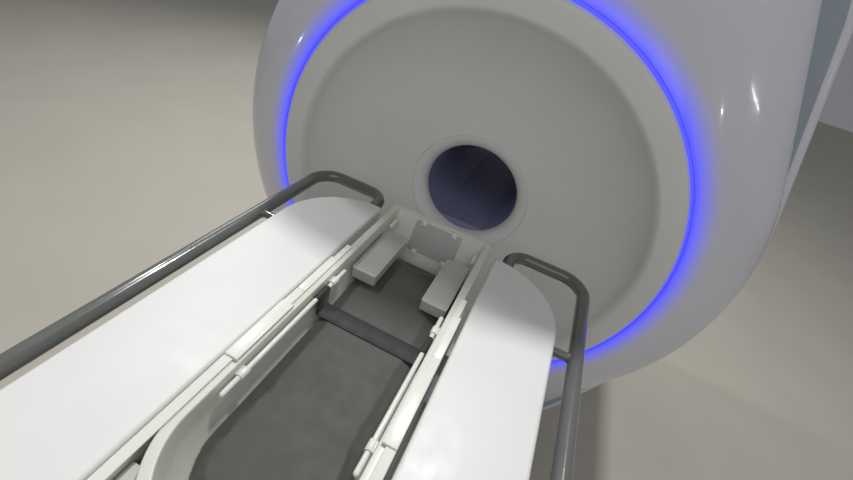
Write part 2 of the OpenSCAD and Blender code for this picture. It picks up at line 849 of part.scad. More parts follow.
// Removable plate on the sloping head wall
head_plate_w = 62;
head_plate_drop = 9;
head_plate_low = -62;
head_plate_t = 4;
module head_plate() {
    high = tray_rise - head_plate_drop;
    front = head_wall(high) - clear;
    low_front = head_wall(head_plate_low) - clear;
    color([0.66, 0.66, 0.64])
    at_ring() translate([-head_plate_w, 0, 0]) rotate([90, 0, 90]) linear_extrude(2 * head_plate_w)
        polygon([[front, high], [low_front, head_plate_low], [low_front - head_plate_t, head_plate_low],
                 [front - head_plate_t, high]]);
}

// Side view of a clip on the head wall that laps over the plate, from its far end to the plate's edge to its lip
module tab_side(far, edge, lip) {
    face = 2 * clear + head_plate_t;
    polygon([[head_wall(far) - clear, far], [head_wall(edge) - clear, edge], [head_wall(edge) - face, edge],
             [head_wall(lip) - face, lip], [head_wall(lip) - face - tab_t, lip],
             [head_wall(far) - face - tab_t, far]]);
}

// Four white clips that hold the plate above and below
tab_x = 41;
tab_w = 13;
tab_t = 3;
tab_len = 7;
tab_lap = 5;
module plate_tabs() {
    high = tray_rise - head_plate_drop + clear;
    low = head_plate_low - clear;
    color([0.90, 0.90, 0.88])
    at_ring() for (s = [-1, 1])
        translate([s * tab_x - tab_w / 2, 0, 0]) rotate([90, 0, 90]) linear_extrude(tab_w) {
            tab_side(high + tab_len, high, high - tab_lap);
            tab_side(low - tab_len, low, low + tab_lap);
        }
}

// White peg at the side of the head end
peg_r = 6;
peg_z = -10;
peg_set = 75;
peg_len = 34;
module head_peg(side) {
    color([0.93, 0.93, 0.90])
    at_ring() translate([side * (tray_inner(peg_z) - peg_r - 2 * clear), -tray_gap - peg_set, peg_z])
        along_bore() cylinder(r = peg_r, h = peg_len);
}
module head_peg_left() { head_peg(-1); }
module head_peg_right() { head_peg(1); }

module head_pad(side) {
    color([0.52, 0.53, 0.51])
    at_ring() mirror([side < 0 ? 1 : 0, 0, 0]) translate([0, pad_y[1], 0]) rotate([90, 0, 0])
        linear_extrude(pad_y[1] - pad_y[0])
            translate([pad_in, mattress_top + clear])
                square([tray_inner(mattress_top) - pad_gap - pad_in, pad_top - mattress_top - clear]);
}
module head_pad_left() { head_pad(-1); }
module head_pad_right() { head_pad(1); }

module strap_bar(side) {
    color([0.94, 0.94, 0.92])
    at_ring() translate([side * bar_x, bar_y[0], bar_z]) along_bore()
        cylinder(r = bar_r, h = bar_y[1] - bar_y[0]);
}
module strap_bar_left() { strap_bar(-1); }
module strap_bar_right() { strap_bar(1); }

clip_w = 18;
clip_h = 5;
clip_fit = 0.05;
module bar_clips() {
    low = bar_z - clip_h;
    high = bar_z + clip_h;
    color([0.92, 0.92, 0.90])
    at_ring() for (s = [-1, 1], y = clip_y)
        mirror([s < 0 ? 1 : 0, 0, 0]) translate([0, y + clip_w / 2, 0]) rotate([90, 0, 0])
            linear_extrude(clip_w) difference() {
                union() {
                    translate([bar_x, bar_z]) circle(r = bar_r + collar_t);
                    polygon([[bar_x, low], [tray_inner(low) - clear, low], [tray_inner(high) - clear, high],
                             [bar_x, high]]);
                }
                translate([bar_x, bar_z]) circle(r = bar_r + clip_fit);
            }
}

// Webbing looped round both bars and lying slack on the mattress
strap_t = 2;
strap_in = 5;
loop_lap = 0.1;
module strap() {
    t = strap_t;
    lie = mattress_top + clear;
    low_x = tray_inner(lie) - strap_in;
    top_x = bar_x - bar_r - clear + loop_lap;
    top_z = bar_z - strap_t;
    color([0.18, 0.18, 0.18])
    at_ring() translate([0, strap_y + strap_w / 2, 0]) rotate([90, 0, 0]) linear_extrude(strap_w) {
        polygon([[-low_x, lie], [low_x, lie], [top_x, top_z], [top_x - t, top_z],
                 [low_x - t, lie + t], [-low_x + t, lie + t], [-top_x + t, top_z], [-top_x, top_z]]);
        for (s = [-1, 1]) translate([s * bar_x, bar_z]) difference() {
            circle(r = bar_r + clear + t - loop_lap);
            circle(r = bar_r + clear);
        }
    }
}

front_fascia();
front_dish();
bore_flare();
light_ring();
light_channel();
front_frame();
rear_frame();
side_cover_left();
side_cover_right();
rear_cover();
rear_flare();
bore_liner();
bore_deck();
rf_coil();
gradient_coil();
magnet_vessel();
cold_head();
service_turret();
magnet_legs();
base_frame();
plinth();
cradle_pan();
side_rail_front_left();
side_rail_front_right();
side_rail_rear_left();
side_rail_rear_right();
shelf_left();
shelf_right();
handrail_left();
handrail_right();
shelf_brackets();
column();
chassis();
castor_fork_1();
castor_fork_2();
castor_fork_3();
castor_fork_4();
castor_axle_1();
castor_axle_2();
castor_axle_3();
castor_axle_4();
castor_wheel_1();
castor_wheel_2();
castor_wheel_3();
castor_wheel_4();
tray();
foot_board();
mattress();
head_plate();
plate_tabs();
head_peg_left();
head_peg_right();
head_pad_left();
head_pad_right();
strap_bar_left();
strap_bar_right();
bar_clips();
strap();
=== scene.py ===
"""Looks of the small-bore MRI scanner: gantry, docked trolley and infant tray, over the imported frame."""

import logging
import math
from collections.abc import Callable, Sequence
from dataclasses import dataclass, field
from enum import Enum
from functools import cache

import bmesh
import bpy
from mathutils import Matrix, Vector


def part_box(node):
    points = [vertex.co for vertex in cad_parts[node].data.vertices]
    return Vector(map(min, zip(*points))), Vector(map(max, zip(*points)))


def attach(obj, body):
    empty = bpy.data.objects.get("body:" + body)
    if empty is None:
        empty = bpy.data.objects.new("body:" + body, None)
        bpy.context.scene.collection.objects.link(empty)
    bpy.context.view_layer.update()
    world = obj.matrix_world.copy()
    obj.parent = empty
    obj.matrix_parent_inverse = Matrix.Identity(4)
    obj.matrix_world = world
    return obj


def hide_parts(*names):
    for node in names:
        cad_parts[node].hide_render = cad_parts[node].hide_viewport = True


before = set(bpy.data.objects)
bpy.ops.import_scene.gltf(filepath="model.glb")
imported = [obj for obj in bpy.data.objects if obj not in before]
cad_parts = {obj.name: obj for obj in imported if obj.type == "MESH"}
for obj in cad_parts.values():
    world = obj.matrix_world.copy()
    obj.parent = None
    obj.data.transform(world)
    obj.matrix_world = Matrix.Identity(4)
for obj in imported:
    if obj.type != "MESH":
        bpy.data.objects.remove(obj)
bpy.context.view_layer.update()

log = logging.getLogger("scanner")

Rgb = tuple[float, float, float]
Rgba = tuple[float, float, float, float]
Point = tuple[float, float, float]
Pair = tuple[float, float]
Socket = bpy.types.NodeSocket
Inputs = dict[str | int, object]
BMesh = bmesh.types.BMesh
BMVert = bmesh.types.BMVert
BMEdge = bmesh.types.BMEdge

# The light ring: how far it stands in front of the part's origin, the height of its middle, its radius
# and the width of its face, in metres.
RING_AHEAD = 0.540
AXIS_H = 1.000
RING_R = 0.550
LIGHT_W = 0.006


class Body(Enum):
    """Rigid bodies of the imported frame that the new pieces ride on."""

    GANTRY = "gantry"
    TROLLEY = "trolley"
    TRAY = "tray"


def linear(colour: Rgb) -> Rgba:
    """Turns a display colour into the linear colour that shaders take.

    Args:
        colour: Red, green and blue from 0 to 1 as seen on a display.

    Returns:
        The linear colour with full alpha.
    """
    r, g, b = (c / 12.92 if c <= 0.04045 else ((c + 0.055) / 1.055) ** 2.4 for c in colour)
    return (r, g, b, 1.0)


def at_ring(x: float, y: float, z: float) -> Vector:
    """Places a point given from the middle of the light ring.

    Args:
        x: Metres to the right.
        y: Metres into the gantry.
        z: Metres up.

    Returns:
        The point in the part's frame.
    """
    return Vector((x, y - RING_AHEAD, z + AXIS_H))


CENTRE = at_ring(0.0, 0.0, 0.0)


# ---------------------------------------------------------------- finishes


class Nodes:
    """A material's node tree with short ways to add to it."""

    def __init__(self, name: str) -> None:
        """Starts a material with a principled shader.

        Args:
            name: Name of the material.
        """
        self.material = bpy.data.materials.new(name)
        self.material.use_nodes = True
        self.tree = self.material.node_tree
        self.shader = self.tree.nodes["Principled BSDF"]

    def add(self, kind: str, inputs: Inputs, **values: object) -> bpy.types.Node:
        """Adds a node, sets its properties and feeds its inputs.

        Args:
            kind: The node's type.
            inputs: What goes into each input.
            **values: Properties to set on it.

        Returns:
            The new node.
        """
        node = self.tree.nodes.new(kind)
        for key, value in values.items():
            setattr(node, key, value)
        self.feed(node, inputs)
        return node

    def feed(self, node: bpy.types.Node, inputs: Inputs) -> None:
        """Links sockets and sets values.

        Args:
            node: The node that takes them.
            inputs: A socket to link or a value to set, by the input's name or place.
        """
        for key, value in inputs.items():
            if isinstance(value, Socket):
                self.tree.links.new(value, node.inputs[key])
            else:
                node.inputs[key].default_value = value

    def place(self, scale: Point = (1.0, 1.0, 1.0), shift: Point = (0.0, 0.0, 0.0)) -> Socket:
        """Gives the object coordinates through a mapping.

        Args:
            scale: Scale of the mapping along each axis.
            shift: Place that becomes the mapping's origin.

        Returns:
            The mapped coordinates.
        """
        where = self.add("ShaderNodeTexCoord", {}).outputs["Object"]
        move = [-s * k for s, k in zip(shift, scale)]
        return self.add("ShaderNodeMapping", {"Vector": where, "Location": move, "Scale": scale}).outputs[0]

    def noise(self, scale: float, detail: float = 4.0, stretch: Point = (1.0, 1.0, 1.0)) -> Socket:
        """Adds a noise field on the object coordinates.

        Args:
            scale: Scale of the noise per metre.
            detail: Octaves of finer noise.
            stretch: Extra scale along each axis.

        Returns:
            The field's value.
        """
        inputs = {"Vector": self.place(stretch), "Scale": scale, "Detail": detail}
        return self.add("ShaderNodeTexNoise", inputs).outputs["Fac"]

    def ramp(self, value: Socket, stops: Sequence[tuple[float, Rgba]]) -> Socket:
        """Turns a value into a colour.

        Args:
            value: The socket to read.
            stops: Place and linear colour of each stop.

        Returns:
            The colour socket.
        """
        node = self.add("ShaderNodeValToRGB", {"Fac": value})
        elements = node.color_ramp.elements
        while len(elements) < len(stops):
            elements.new(0.5)
        for element, (place, colour) in zip(elements, stops):
            element.position = place
            element.color = colour
        return node.outputs["Color"]

    def spread(self, value: Socket, low: float, high: float) -> Socket:
        """Maps a value from 0.3 to 0.7 onto a new range.

        Args:
            value: The socket to read.
            low: Result at 0.3 and below.
            high: Result at 0.7 and above.

        Returns:
            The mapped value.
        """
        inputs = {"Value": value, "From Min": 0.3, "From Max": 0.7, "To Min": low, "To Max": high}
        return self.add("ShaderNodeMapRange", inputs).outputs["Result"]

    def maths(self, operation: str, a: Socket | float, b: Socket | float) -> Socket:
        """Adds a maths node.

        Args:
            operation: The operation's name.
            a: First value or socket.
            b: Second value or socket.

        Returns:
            The result socket.
        """
        return self.add("ShaderNodeMath", {0: a, 1: b}, operation=operation).outputs[0]

    def mix(self, share: Socket, first: Socket, second: Rgba) -> Socket:
        """Mixes a colour field with a plain colour.

        Args:
            share: Share of the second colour.
            first: The colour field.
            second: The plain colour, linear.

        Returns:
            The mixed colour.
        """
        return self.add("ShaderNodeMix", {0: share, 6: first, 7: second}, data_type="RGBA").outputs[2]

    def bump(self, height: Socket, strength: float, distance: float) -> None:
        """Drives the shader's normal from a height field.

        Args:
            height: The field.
            strength: Strength of the bump.
            distance: Height of a full step, in metres.
        """
        node = self.add("ShaderNodeBump", {"Height": height, "Strength": strength, "Distance": distance})
        self.feed(self.shader, {"Normal": node.outputs["Normal"]})


@dataclass(frozen=True)
class Finish:
    """A smooth or grained surface: moulded plastic, paint or bare metal.

    Attributes:
        name: Name of the material.
        slot: The record's material slot that it stands for; not used.
        colour: Display colour.
        roughness: Mean roughness.
        metallic: 1 for bare metal.
        coat: Weight of a clear coat.
        mottle: How far the colour wanders, as a share.
        grain: Grain cells per metre.
        relief: Height of the grain, in metres.
        stretch: Extra scale of the grain along each axis.
    """

    name: str
    slot: str
    colour: Rgb
    roughness: float = 0.45
    metallic: float = 0.0
    coat: float = 0.0
    mottle: float = 0.04
    grain: float = 900.0
    relief: float = 0.00006
    stretch: Point = (1.0, 1.0, 1.0)

    def shade(self, factor: float) -> Rgba:
        """Gives the linear colour times a factor.

        Args:
            factor: The factor.

        Returns:
            The shaded colour, linear.
        """
        r, g, b, _ = linear(self.colour)
        return (min(r * factor, 1.0), min(g * factor, 1.0), min(b * factor, 1.0), 1.0)

    def dress(self, nodes: Nodes) -> None:
        """Wires the finish's colour, roughness and grain.

        Args:
            nodes: The material to wire.
        """
        coat = {"Coat Weight": self.coat, "Coat Roughness": 0.04}
        nodes.feed(nodes.shader, {"Metallic": self.metallic, **coat})
        self.colour_by(nodes, nodes.noise(7.0, 3.0), 0.65)
        self.roughen(nodes, nodes.noise(28.0), 0.15 * self.roughness + 0.01)
        nodes.bump(nodes.noise(self.grain, 2.0, self.stretch), 0.6, self.relief)

    def colour_by(self, nodes: Nodes, source: Socket, full: float) -> None:
        """Lets the colour wander with a field.

        Args:
            nodes: The material to wire.
            source: The field.
            full: The field's value at the colour's light end.
        """
        stops = [(0.35, self.shade(1.0 - self.mottle)), (full, self.shade(1.0 + self.mottle))]
        nodes.feed(nodes.shader, {"Base Color": nodes.ramp(source, stops)})

    def roughen(self, nodes: Nodes, source: Socket, reach: float) -> None:
        """Lets the roughness wander with a field.

        Args:
            nodes: The material to wire.
            source: The field.
            reach: How far the roughness goes to either side.
        """
        rough = nodes.spread(source, self.roughness - reach, self.roughness + reach)
        nodes.feed(nodes.shader, {"Roughness": rough})

    @cache
    def make(self) -> bpy.types.Material:
        """Builds the material on its first use.

        Returns:
            The material.
        """
        nodes = Nodes(self.name)
        self.dress(nodes)
        return nodes.material


@dataclass(frozen=True)
class PaintedGlowFinish(Finish):
    """A glossy shell beside the light ring, with the blue light's wash near its inner edge painted on as
    emission and a blue tint in its colour.

    Attributes:
        reach: How far the painted glow reaches outwards, in metres.
        glow: Colour of the painted glow.
        strength: Emission strength of the painted glow at the ring.
        tint: How far the painted glow takes over the shell's own colour at the ring.
        falloff: Power by which the painted glow fades.
    """

    reach: float = 0.064
    glow: Rgb = (0.10, 0.10, 1.0)
    strength: float = 1.1
    tint: float = 0.75
    falloff: float = 2.2

    def dress(self, nodes: Nodes) -> None:
        """Wires the shell and paints the blue light's glow on it by distance from the bore axis, as emission
        and a blue tint in its colour.

        Args:
            nodes: The material to wire.
        """
        super().dress(nodes)
        place = nodes.place((1.0, 0.0, 1.0), (0.0, 0.0, AXIS_H))
        length = nodes.add("ShaderNodeVectorMath", {0: place}, operation="LENGTH")
        out = nodes.maths("SUBTRACT", length.outputs["Value"], RING_R + LIGHT_W / 2)
        share = nodes.maths("DIVIDE", nodes.maths("ABSOLUTE", out, 0.0), self.reach)
        left = nodes.maths("MAXIMUM", nodes.maths("SUBTRACT", 1.0, share), 0.0)
        fade = nodes.maths("POWER", left, self.falloff)
        # Painted glow: the blue light near the ring is laid into the base colour as a tint and given
        # emission.
        own = nodes.shader.inputs["Base Color"].links[0].from_socket
        nodes.feed(nodes.shader, {
            "Base Color": nodes.mix(nodes.maths("MULTIPLY", fade, self.tint), own, linear(self.glow)),
            "Emission Color": linear(self.glow),
            "Emission Strength": nodes.maths("MULTIPLY", fade, self.strength),
        })


@dataclass(frozen=True)
class LitFinish(Finish):
    """A frosted light guide that shines.

    Attributes:
        strength: Strength of the light.
    """

    strength: float = 2.0

    def dress(self, nodes: Nodes) -> None:
        """Wires the guide with a faint unevenness along it.

        Args:
            nodes: The material to wire.
        """
        super().dress(nodes)
        uneven = nodes.spread(nodes.noise(60.0, 1.0), self.strength * 0.94, self.strength * 1.06)
        nodes.feed(nodes.shader, {"Emission Color": linear(self.colour), "Emission Strength": uneven})


@dataclass(frozen=True)
class ClothFinish(Finish):
    """A woven cloth.

    Attributes:
        threads: Threads per metre.
        weave: Scale of the threads along each axis.
        sheen: Weight of the fuzz.
    """

    threads: float = 900.0
    weave: Point = (1.0, 1.0, 1.0)
    sheen: float = 0.3

    def dress(self, nodes: Nodes) -> None:
        """Wires the colour and the threads.

        Args:
            nodes: The material to wire.
        """
        nodes.feed(nodes.shader, {"Sheen Weight": self.sheen, "Sheen Roughness": 0.5})
        place = nodes.place(self.weave)
        inputs = {"Vector": place, "Scale": self.threads / math.tau, "Distortion": 0.4, "Detail": 1.0}
        warp, weft = (nodes.add("ShaderNodeTexWave", inputs, wave_type="BANDS", bands_direction=axis)
                      for axis in ("X", "Y"))
        threads = nodes.maths("MULTIPLY", warp.outputs["Fac"], weft.outputs["Fac"])
        wander = nodes.maths("ADD", nodes.maths("MULTIPLY", threads, 0.35), nodes.noise(16.0))
        self.colour_by(nodes, wander, 0.85)
        self.roughen(nodes, nodes.noise(40.0), 0.05)
        nodes.bump(threads, 0.5, self.relief)


class Finishes:
    """Every finish of the scanner."""

    cover = Finish("cover_gloss_white", "cover_white", (0.90, 0.90, 0.93), 0.16, coat=0.6, mottle=0.008,
                   grain=60.0, relief=0.00005)
    # The fascia's blue glow near the light ring is painted light: emission and a blue tint in its colour.
    fascia = PaintedGlowFinish("fascia_gloss_white_painted_glow", "cover_white", (0.90, 0.90, 0.93), 0.12, coat=0.8, mottle=0.008,
                        grain=60.0, relief=0.00004)
    dish = Finish("dish_matt_grey", "dish_grey", (0.90, 0.90, 0.885), 0.5, mottle=0.015, grain=1500.0,
                  relief=0.00003)
    flare = Finish("flare_matt_grey", "flare_grey", (0.90, 0.90, 0.90), 0.45, mottle=0.012, grain=1500.0,
                   relief=0.00003)
    light = LitFinish("light_guide_blue", "light_blue", (0.30, 0.31, 1.0), 0.4, strength=1.1)
    channel = Finish("channel_satin", "channel_white", (0.80, 0.80, 0.82), 0.5)
    bore = Finish("bore_navy", "bore_navy", (0.54, 0.55, 0.68), 0.5, mottle=0.05, grain=300.0, relief=0.00004)
    deck = Finish("deck_navy", "deck_navy", (0.53, 0.54, 0.67), 0.5, mottle=0.05)
    steel = Finish("frame_paint", "frame_grey", (0.48, 0.50, 0.52), 0.5, mottle=0.06, grain=500.0,
                   relief=0.0001)
    seam = Finish("seam_satin", "frame_grey", (0.63, 0.67, 0.71), 0.4, mottle=0.02)
    plinth = Finish("plinth_satin", "plinth_grey", (0.62, 0.63, 0.65), 0.5, mottle=0.03)
    coil = Finish("coil_tube", "coil_beige", (0.76, 0.72, 0.60), 0.5, stretch=(1.0, 20.0, 1.0), relief=0.0002)
    gradient = Finish("gradient_resin", "gradient_brown", (0.52, 0.36, 0.22), 0.35, mottle=0.1)
    vessel = Finish("vessel_skin", "vessel_steel", (0.74, 0.75, 0.76), 0.32, metallic=1.0, mottle=0.04,
                    grain=200.0, stretch=(1.0, 30.0, 1.0))
    shelf = Finish("shelf_satin_white", "shelf_white", (0.92, 0.92, 0.905), 0.42, mottle=0.008, grain=2200.0,
                   relief=0.00003)
    guide = Finish("guide_gloss_white", "guide_white", (0.95, 0.95, 0.91), 0.25, coat=0.3, mottle=0.01)
    pan = Finish("pan_satin", "pan_white", (0.82, 0.82, 0.79), 0.45, mottle=0.02)
    rail = Finish("rail_gloss_grey", "rail_grey", (0.41, 0.42, 0.405), 0.2, coat=0.7, mottle=0.04,
                  grain=420.0, relief=0.00012)
    column = Finish("column_satin", "column_white", (0.86, 0.86, 0.86), 0.4, mottle=0.015)
    chassis = Finish("chassis_powder", "chassis_grey", (0.68, 0.69, 0.70), 0.45, mottle=0.04, grain=700.0,
                     relief=0.00012)
    fork = Finish("fork_steel", "fork_steel", (0.66, 0.67, 0.68), 0.3, metallic=1.0, mottle=0.06, grain=300.0,
                  stretch=(1.0, 1.0, 12.0))
    tyre = Finish("tyre_rubber", "tyre_grey", (0.24, 0.24, 0.25), 0.75, mottle=0.12, grain=800.0,
                  relief=0.0002)
    tray = Finish("tray_satin_grey", "tray_grey", (0.87, 0.875, 0.83), 0.4, mottle=0.015, grain=1600.0,
                  relief=0.00004)
    plate = Finish("plate_matt_grey", "plate_grey", (0.73, 0.735, 0.715), 0.5, mottle=0.03, grain=1800.0)
    peg = Finish("peg_white", "peg_white", (0.92, 0.92, 0.89), 0.3, coat=0.2, mottle=0.01)
    mattress = ClothFinish("mattress_cloth", "mattress_grey", (0.29, 0.29, 0.265), 0.6, mottle=0.1,
                           relief=0.0001, threads=700.0, sheen=0.2)
    pad = ClothFinish("pad_cloth", "pad_grey", (0.74, 0.745, 0.72), 0.55, mottle=0.04, relief=0.00005,
                      threads=1200.0, sheen=0.15)
    piping = ClothFinish("piping_cloth", "pad_grey", (0.82, 0.825, 0.80), 0.5, mottle=0.03, relief=0.00003,
                         threads=1500.0)
    strap = ClothFinish("strap_webbing", "strap_black", (0.13, 0.13, 0.13), 0.6, mottle=0.15, relief=0.0002,
                        threads=900.0, weave=(1.0, 0.25, 1.0), sheen=0.2)


# ---------------------------------------------------------------- shaping


def arc(steps: int) -> list[Pair]:
    """Divides a quarter turn evenly.

    Args:
        steps: Number of steps.

    Returns:
        Sine and cosine at each step, both ends included.
    """
    return [(math.sin(math.pi / 2 * k / steps), math.cos(math.pi / 2 * k / steps)) for k in range(steps + 1)]


def spun(profile: Sequence[Pair], steps: int, centre: Vector, closed: bool = True) -> BMesh:
    """Spins a profile about a line along Y.

    Args:
        profile: Radius and depth of each point.
        steps: Steps of the full turn.
        centre: A point on the axis.
        closed: Whether the profile's last point joins its first.

    Returns:
        The finished mesh.
    """
    bm = bmesh.new()
    verts = [bm.verts.new(centre + Vector((r, y, 0.0))) for r, y in profile]
    ends = verts[1:] + verts[:1] if closed else verts[1:]
    edges = [bm.edges.new(pair) for pair in zip(verts, ends)]
    bmesh.ops.spin(bm, geom=verts + edges, cent=centre, axis=(0.0, 1.0, 0.0), angle=math.tau, steps=steps,
                   use_merge=True)
    bmesh.ops.remove_doubles(bm, verts=bm.verts, dist=0.00001)
    bmesh.ops.recalc_face_normals(bm, faces=bm.faces)
    return bm


def rounded(bm: BMesh, geom: Sequence[BMVert | BMEdge], width: float, segments: int, affect: str = "EDGES",
            clamped: bool = False) -> None:
    """Rounds edges or corners over.

    Args:
        bm: The mesh.
        geom: The edges or vertices.
        width: Width of the rounding, in metres.
        segments: Segments of the rounding.
        affect: "EDGES" or "VERTICES".
        clamped: Whether roundings that meet stop each other.
    """
    bmesh.ops.bevel(bm, geom=geom, offset=width, offset_type="OFFSET", affect=affect, segments=segments,
                    profile=0.5, material=-1, clamp_overlap=clamped)


def hoop(bm: BMesh, centre: Vector, radius: float, segments: int, capped: bool) -> list[BMEdge]:
    """Adds a circle that faces along Y, the start of a tube.

    Args:
        bm: The mesh.
        centre: Its middle.
        radius: Its radius.
        segments: Its number of edges.
        capped: Whether a face closes it.

    Returns:
        Its edges.
    """
    turn = Matrix.Translation(centre) @ Matrix.Rotation(math.radians(90), 4, "X")
    made = bmesh.ops.create_circle(bm, cap_ends=capped, radius=radius, segments=segments, matrix=turn)
    return list({edge for vert in made["verts"] for edge in vert.link_edges})


def extruded(bm: BMesh, edges: list[BMEdge]) -> tuple[list[BMVert], list[BMEdge]]:
    """Extrudes an open end in place.

    Args:
        bm: The mesh.
        edges: The open end.

    Returns:
        The new end's vertices and edges.
    """
    made = bmesh.ops.extrude_edge_only(bm, edges=edges)["geom"]
    verts = [item for item in made if isinstance(item, BMVert)]
    fresh = set(verts)
    return verts, [item for item in made if isinstance(item, BMEdge) and fresh.issuperset(item.verts)]


def run(bm: BMesh, edges: list[BMEdge], way: Pair) -> list[BMEdge]:
    """Extrudes a tube's open end straight on.

    Args:
        bm: The mesh.
        edges: The open end.
        way: X and Y of the run.

    Returns:
        The new open end.
    """
    verts, edges = extruded(bm, edges)
    bmesh.ops.translate(bm, verts=verts, vec=(*way, 0.0))
    return edges


def bend(bm: BMesh, edges: list[BMEdge], centre: Vector, degrees: float, steps: int) -> list[BMEdge]:
    """Spins a tube's open end round an upright line.

    Args:
        bm: The mesh.
        edges: The open end.
        centre: Middle of the bend.
        degrees: Angle of the bend.
        steps: Steps of the bend.

    Returns:
        The new open end.
    """
    made = bmesh.ops.spin(bm, geom=edges, cent=centre, axis=(0.0, 0.0, 1.0), angle=math.radians(degrees),
                          steps=steps)["geom_last"]
    return [item for item in made if isinstance(item, BMEdge)]


@dataclass
class Ovoid:
    """Outline of the gantry: a circle, leaning flanks and an end circle above and below.

    Attributes:
        r: Radius of the middle circle.
        rise: Distance from the axis to each end circle.
        lean: Lean of the flanks, in degrees.
    """

    r: float
    rise: float
    lean: float

    def radius(self, angle: float, inset: float = 0.0) -> float:
        """Gives the outline's distance from the bore axis.

        Args:
            angle: Angle from the right-hand side.
            inset: How far the outline is drawn in.

        Returns:
            The radius in metres.
        """
        turn = math.asin(min(1.0, abs(math.sin(angle))))
        lean = math.radians(self.lean)
        end = self.r - self.rise * math.sin(lean) - inset
        if turn <= lean:
            return self.r - inset
        tip = math.atan2(self.rise + end * math.sin(lean), end * math.cos(lean))
        if turn <= tip:
            return (self.r - inset) / math.cos(turn - lean)
        return self.rise * math.sin(turn) + math.sqrt(end**2 - (self.rise * math.cos(turn)) ** 2)


def rings(points: Sequence[Pair], stations: int, shape: Ovoid | None = None) -> list[list[Vector]]:
    """Gives upright outlines round the bore axis.

    Args:
        points: Radius and depth behind the light ring of each outline.
        stations: Number of points of an outline.
        shape: Takes the circle's place; each radius is then how far it is drawn in.

    Returns:
        The outlines.
    """
    turns = [math.tau * k / stations for k in range(stations)]
    outlines = []
    for size, y in points:
        spots = [(shape.radius(turn, size) if shape else size, turn) for turn in turns]
        outlines.append([at_ring(r * math.cos(turn), y, r * math.sin(turn)) for r, turn in spots])
    return outlines


def skinned(outlines: Sequence[Sequence[Vector]], closed: bool = False) -> BMesh:
    """Grows a skin from one outline to the next.

    Args:
        outlines: The outlines, each with as many points.
        closed: Whether the last outline joins the first; otherwise both ends get a face.

    Returns:
        The finished mesh.
    """
    bm = bmesh.new()
    station = bm.verts.layers.int.new("station")
    verts = bmesh.ops.create_circle(bm, cap_ends=False, radius=1.0, segments=len(outlines[0]))["verts"]
    verts.sort(key=lambda vert: math.atan2(vert.co.y, vert.co.x))
    for k, vert in enumerate(verts):
        vert[station] = k
        vert.co = outlines[0][k]
    start = edges = list({edge for vert in verts for edge in vert.link_edges})
    for points in [*outlines[1:], *(outlines[:1] if closed else ())]:
        verts, edges = extruded(bm, edges)
        for vert in verts:
            vert.co = points[vert[station]]
    if not closed:
        bmesh.ops.edgeloop_fill(bm, edges=start)
        bmesh.ops.edgeloop_fill(bm, edges=edges)
    bmesh.ops.remove_doubles(bm, verts=bm.verts, dist=0.000005)
    bmesh.ops.recalc_face_normals(bm, faces=bm.faces)
    return bm


def meshed(name: str, bm: BMesh) -> bpy.types.Mesh:
    """Turns a finished shape into mesh data.

    Args:
        name: Name of the data.
        bm: The shape, which is freed.

    Returns:
        The data.
    """
    mesh = bpy.data.meshes.new(name)
    bm.to_mesh(mesh)
    bm.free()
    return mesh


def added(name: str, data: bpy.types.ID) -> bpy.types.Object:
    """Adds an object to the scene.

    Args:
        name: Name of the object.
        data: Its mesh, lamp or camera.

    Returns:
        The object.
    """
    obj = bpy.data.objects.new(name, data)
    bpy.context.collection.objects.link(obj)
    return obj


def piece(name: str, bm: BMesh, finish: Finish, body: Body | str, *nodes: str,
          crease: float = 40.0) -> bpy.types.Object:
    """Makes an object of a finished mesh.

    Args:
        name: Name of the piece.
        bm: The mesh, which is freed.
        finish: Its finish.
        body: The body that it rides on.
        *nodes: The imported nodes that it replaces.
        crease: Angle above which an edge stays sharp, in degrees.

    Returns:
        The new object.
    """
    mesh = meshed(name, bm)
    mesh.shade_smooth()
    mesh.set_sharp_from_angle(angle=math.radians(crease))
    mesh.materials.append(finish.make())
    obj = added(name, mesh)
    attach(obj, body.value if isinstance(body, Body) else body)
    if nodes:
        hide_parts(*nodes)
    log.info("%s: %d faces", name, len(mesh.polygons))
    return obj


def softened(node: str, finish: Finish, body: Body | str, width: float = 0.002, segments: int = 3,
             angle: float = 35.0) -> bpy.types.Object:
    """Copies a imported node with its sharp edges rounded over.

    Args:
        node: The node, which the copy replaces.
        finish: Its finish.
        body: The body that it rides on.
        width: Width of the rounding, in metres.
        segments: Segments of the rounding.
        angle: Edges sharper than this are rounded, in degrees.

    Returns:
        The new object.
    """
    bm = bmesh.new()
    bm.from_mesh(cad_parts[node].data)
    bmesh.ops.remove_doubles(bm, verts=bm.verts, dist=0.00001)
    bmesh.ops.dissolve_limit(bm, angle_limit=math.radians(1.0), verts=bm.verts, edges=bm.edges,
                             delimit={"NORMAL"})
    limit = math.radians(angle)
    sharp = [edge for edge in bm.edges if edge.is_manifold and edge.calc_face_angle() > limit]
    rounded(bm, sharp, width, segments, clamped=True)
    return piece(node + "_form", bm, finish, body, node)


# ---------------------------------------------------------------- gantry


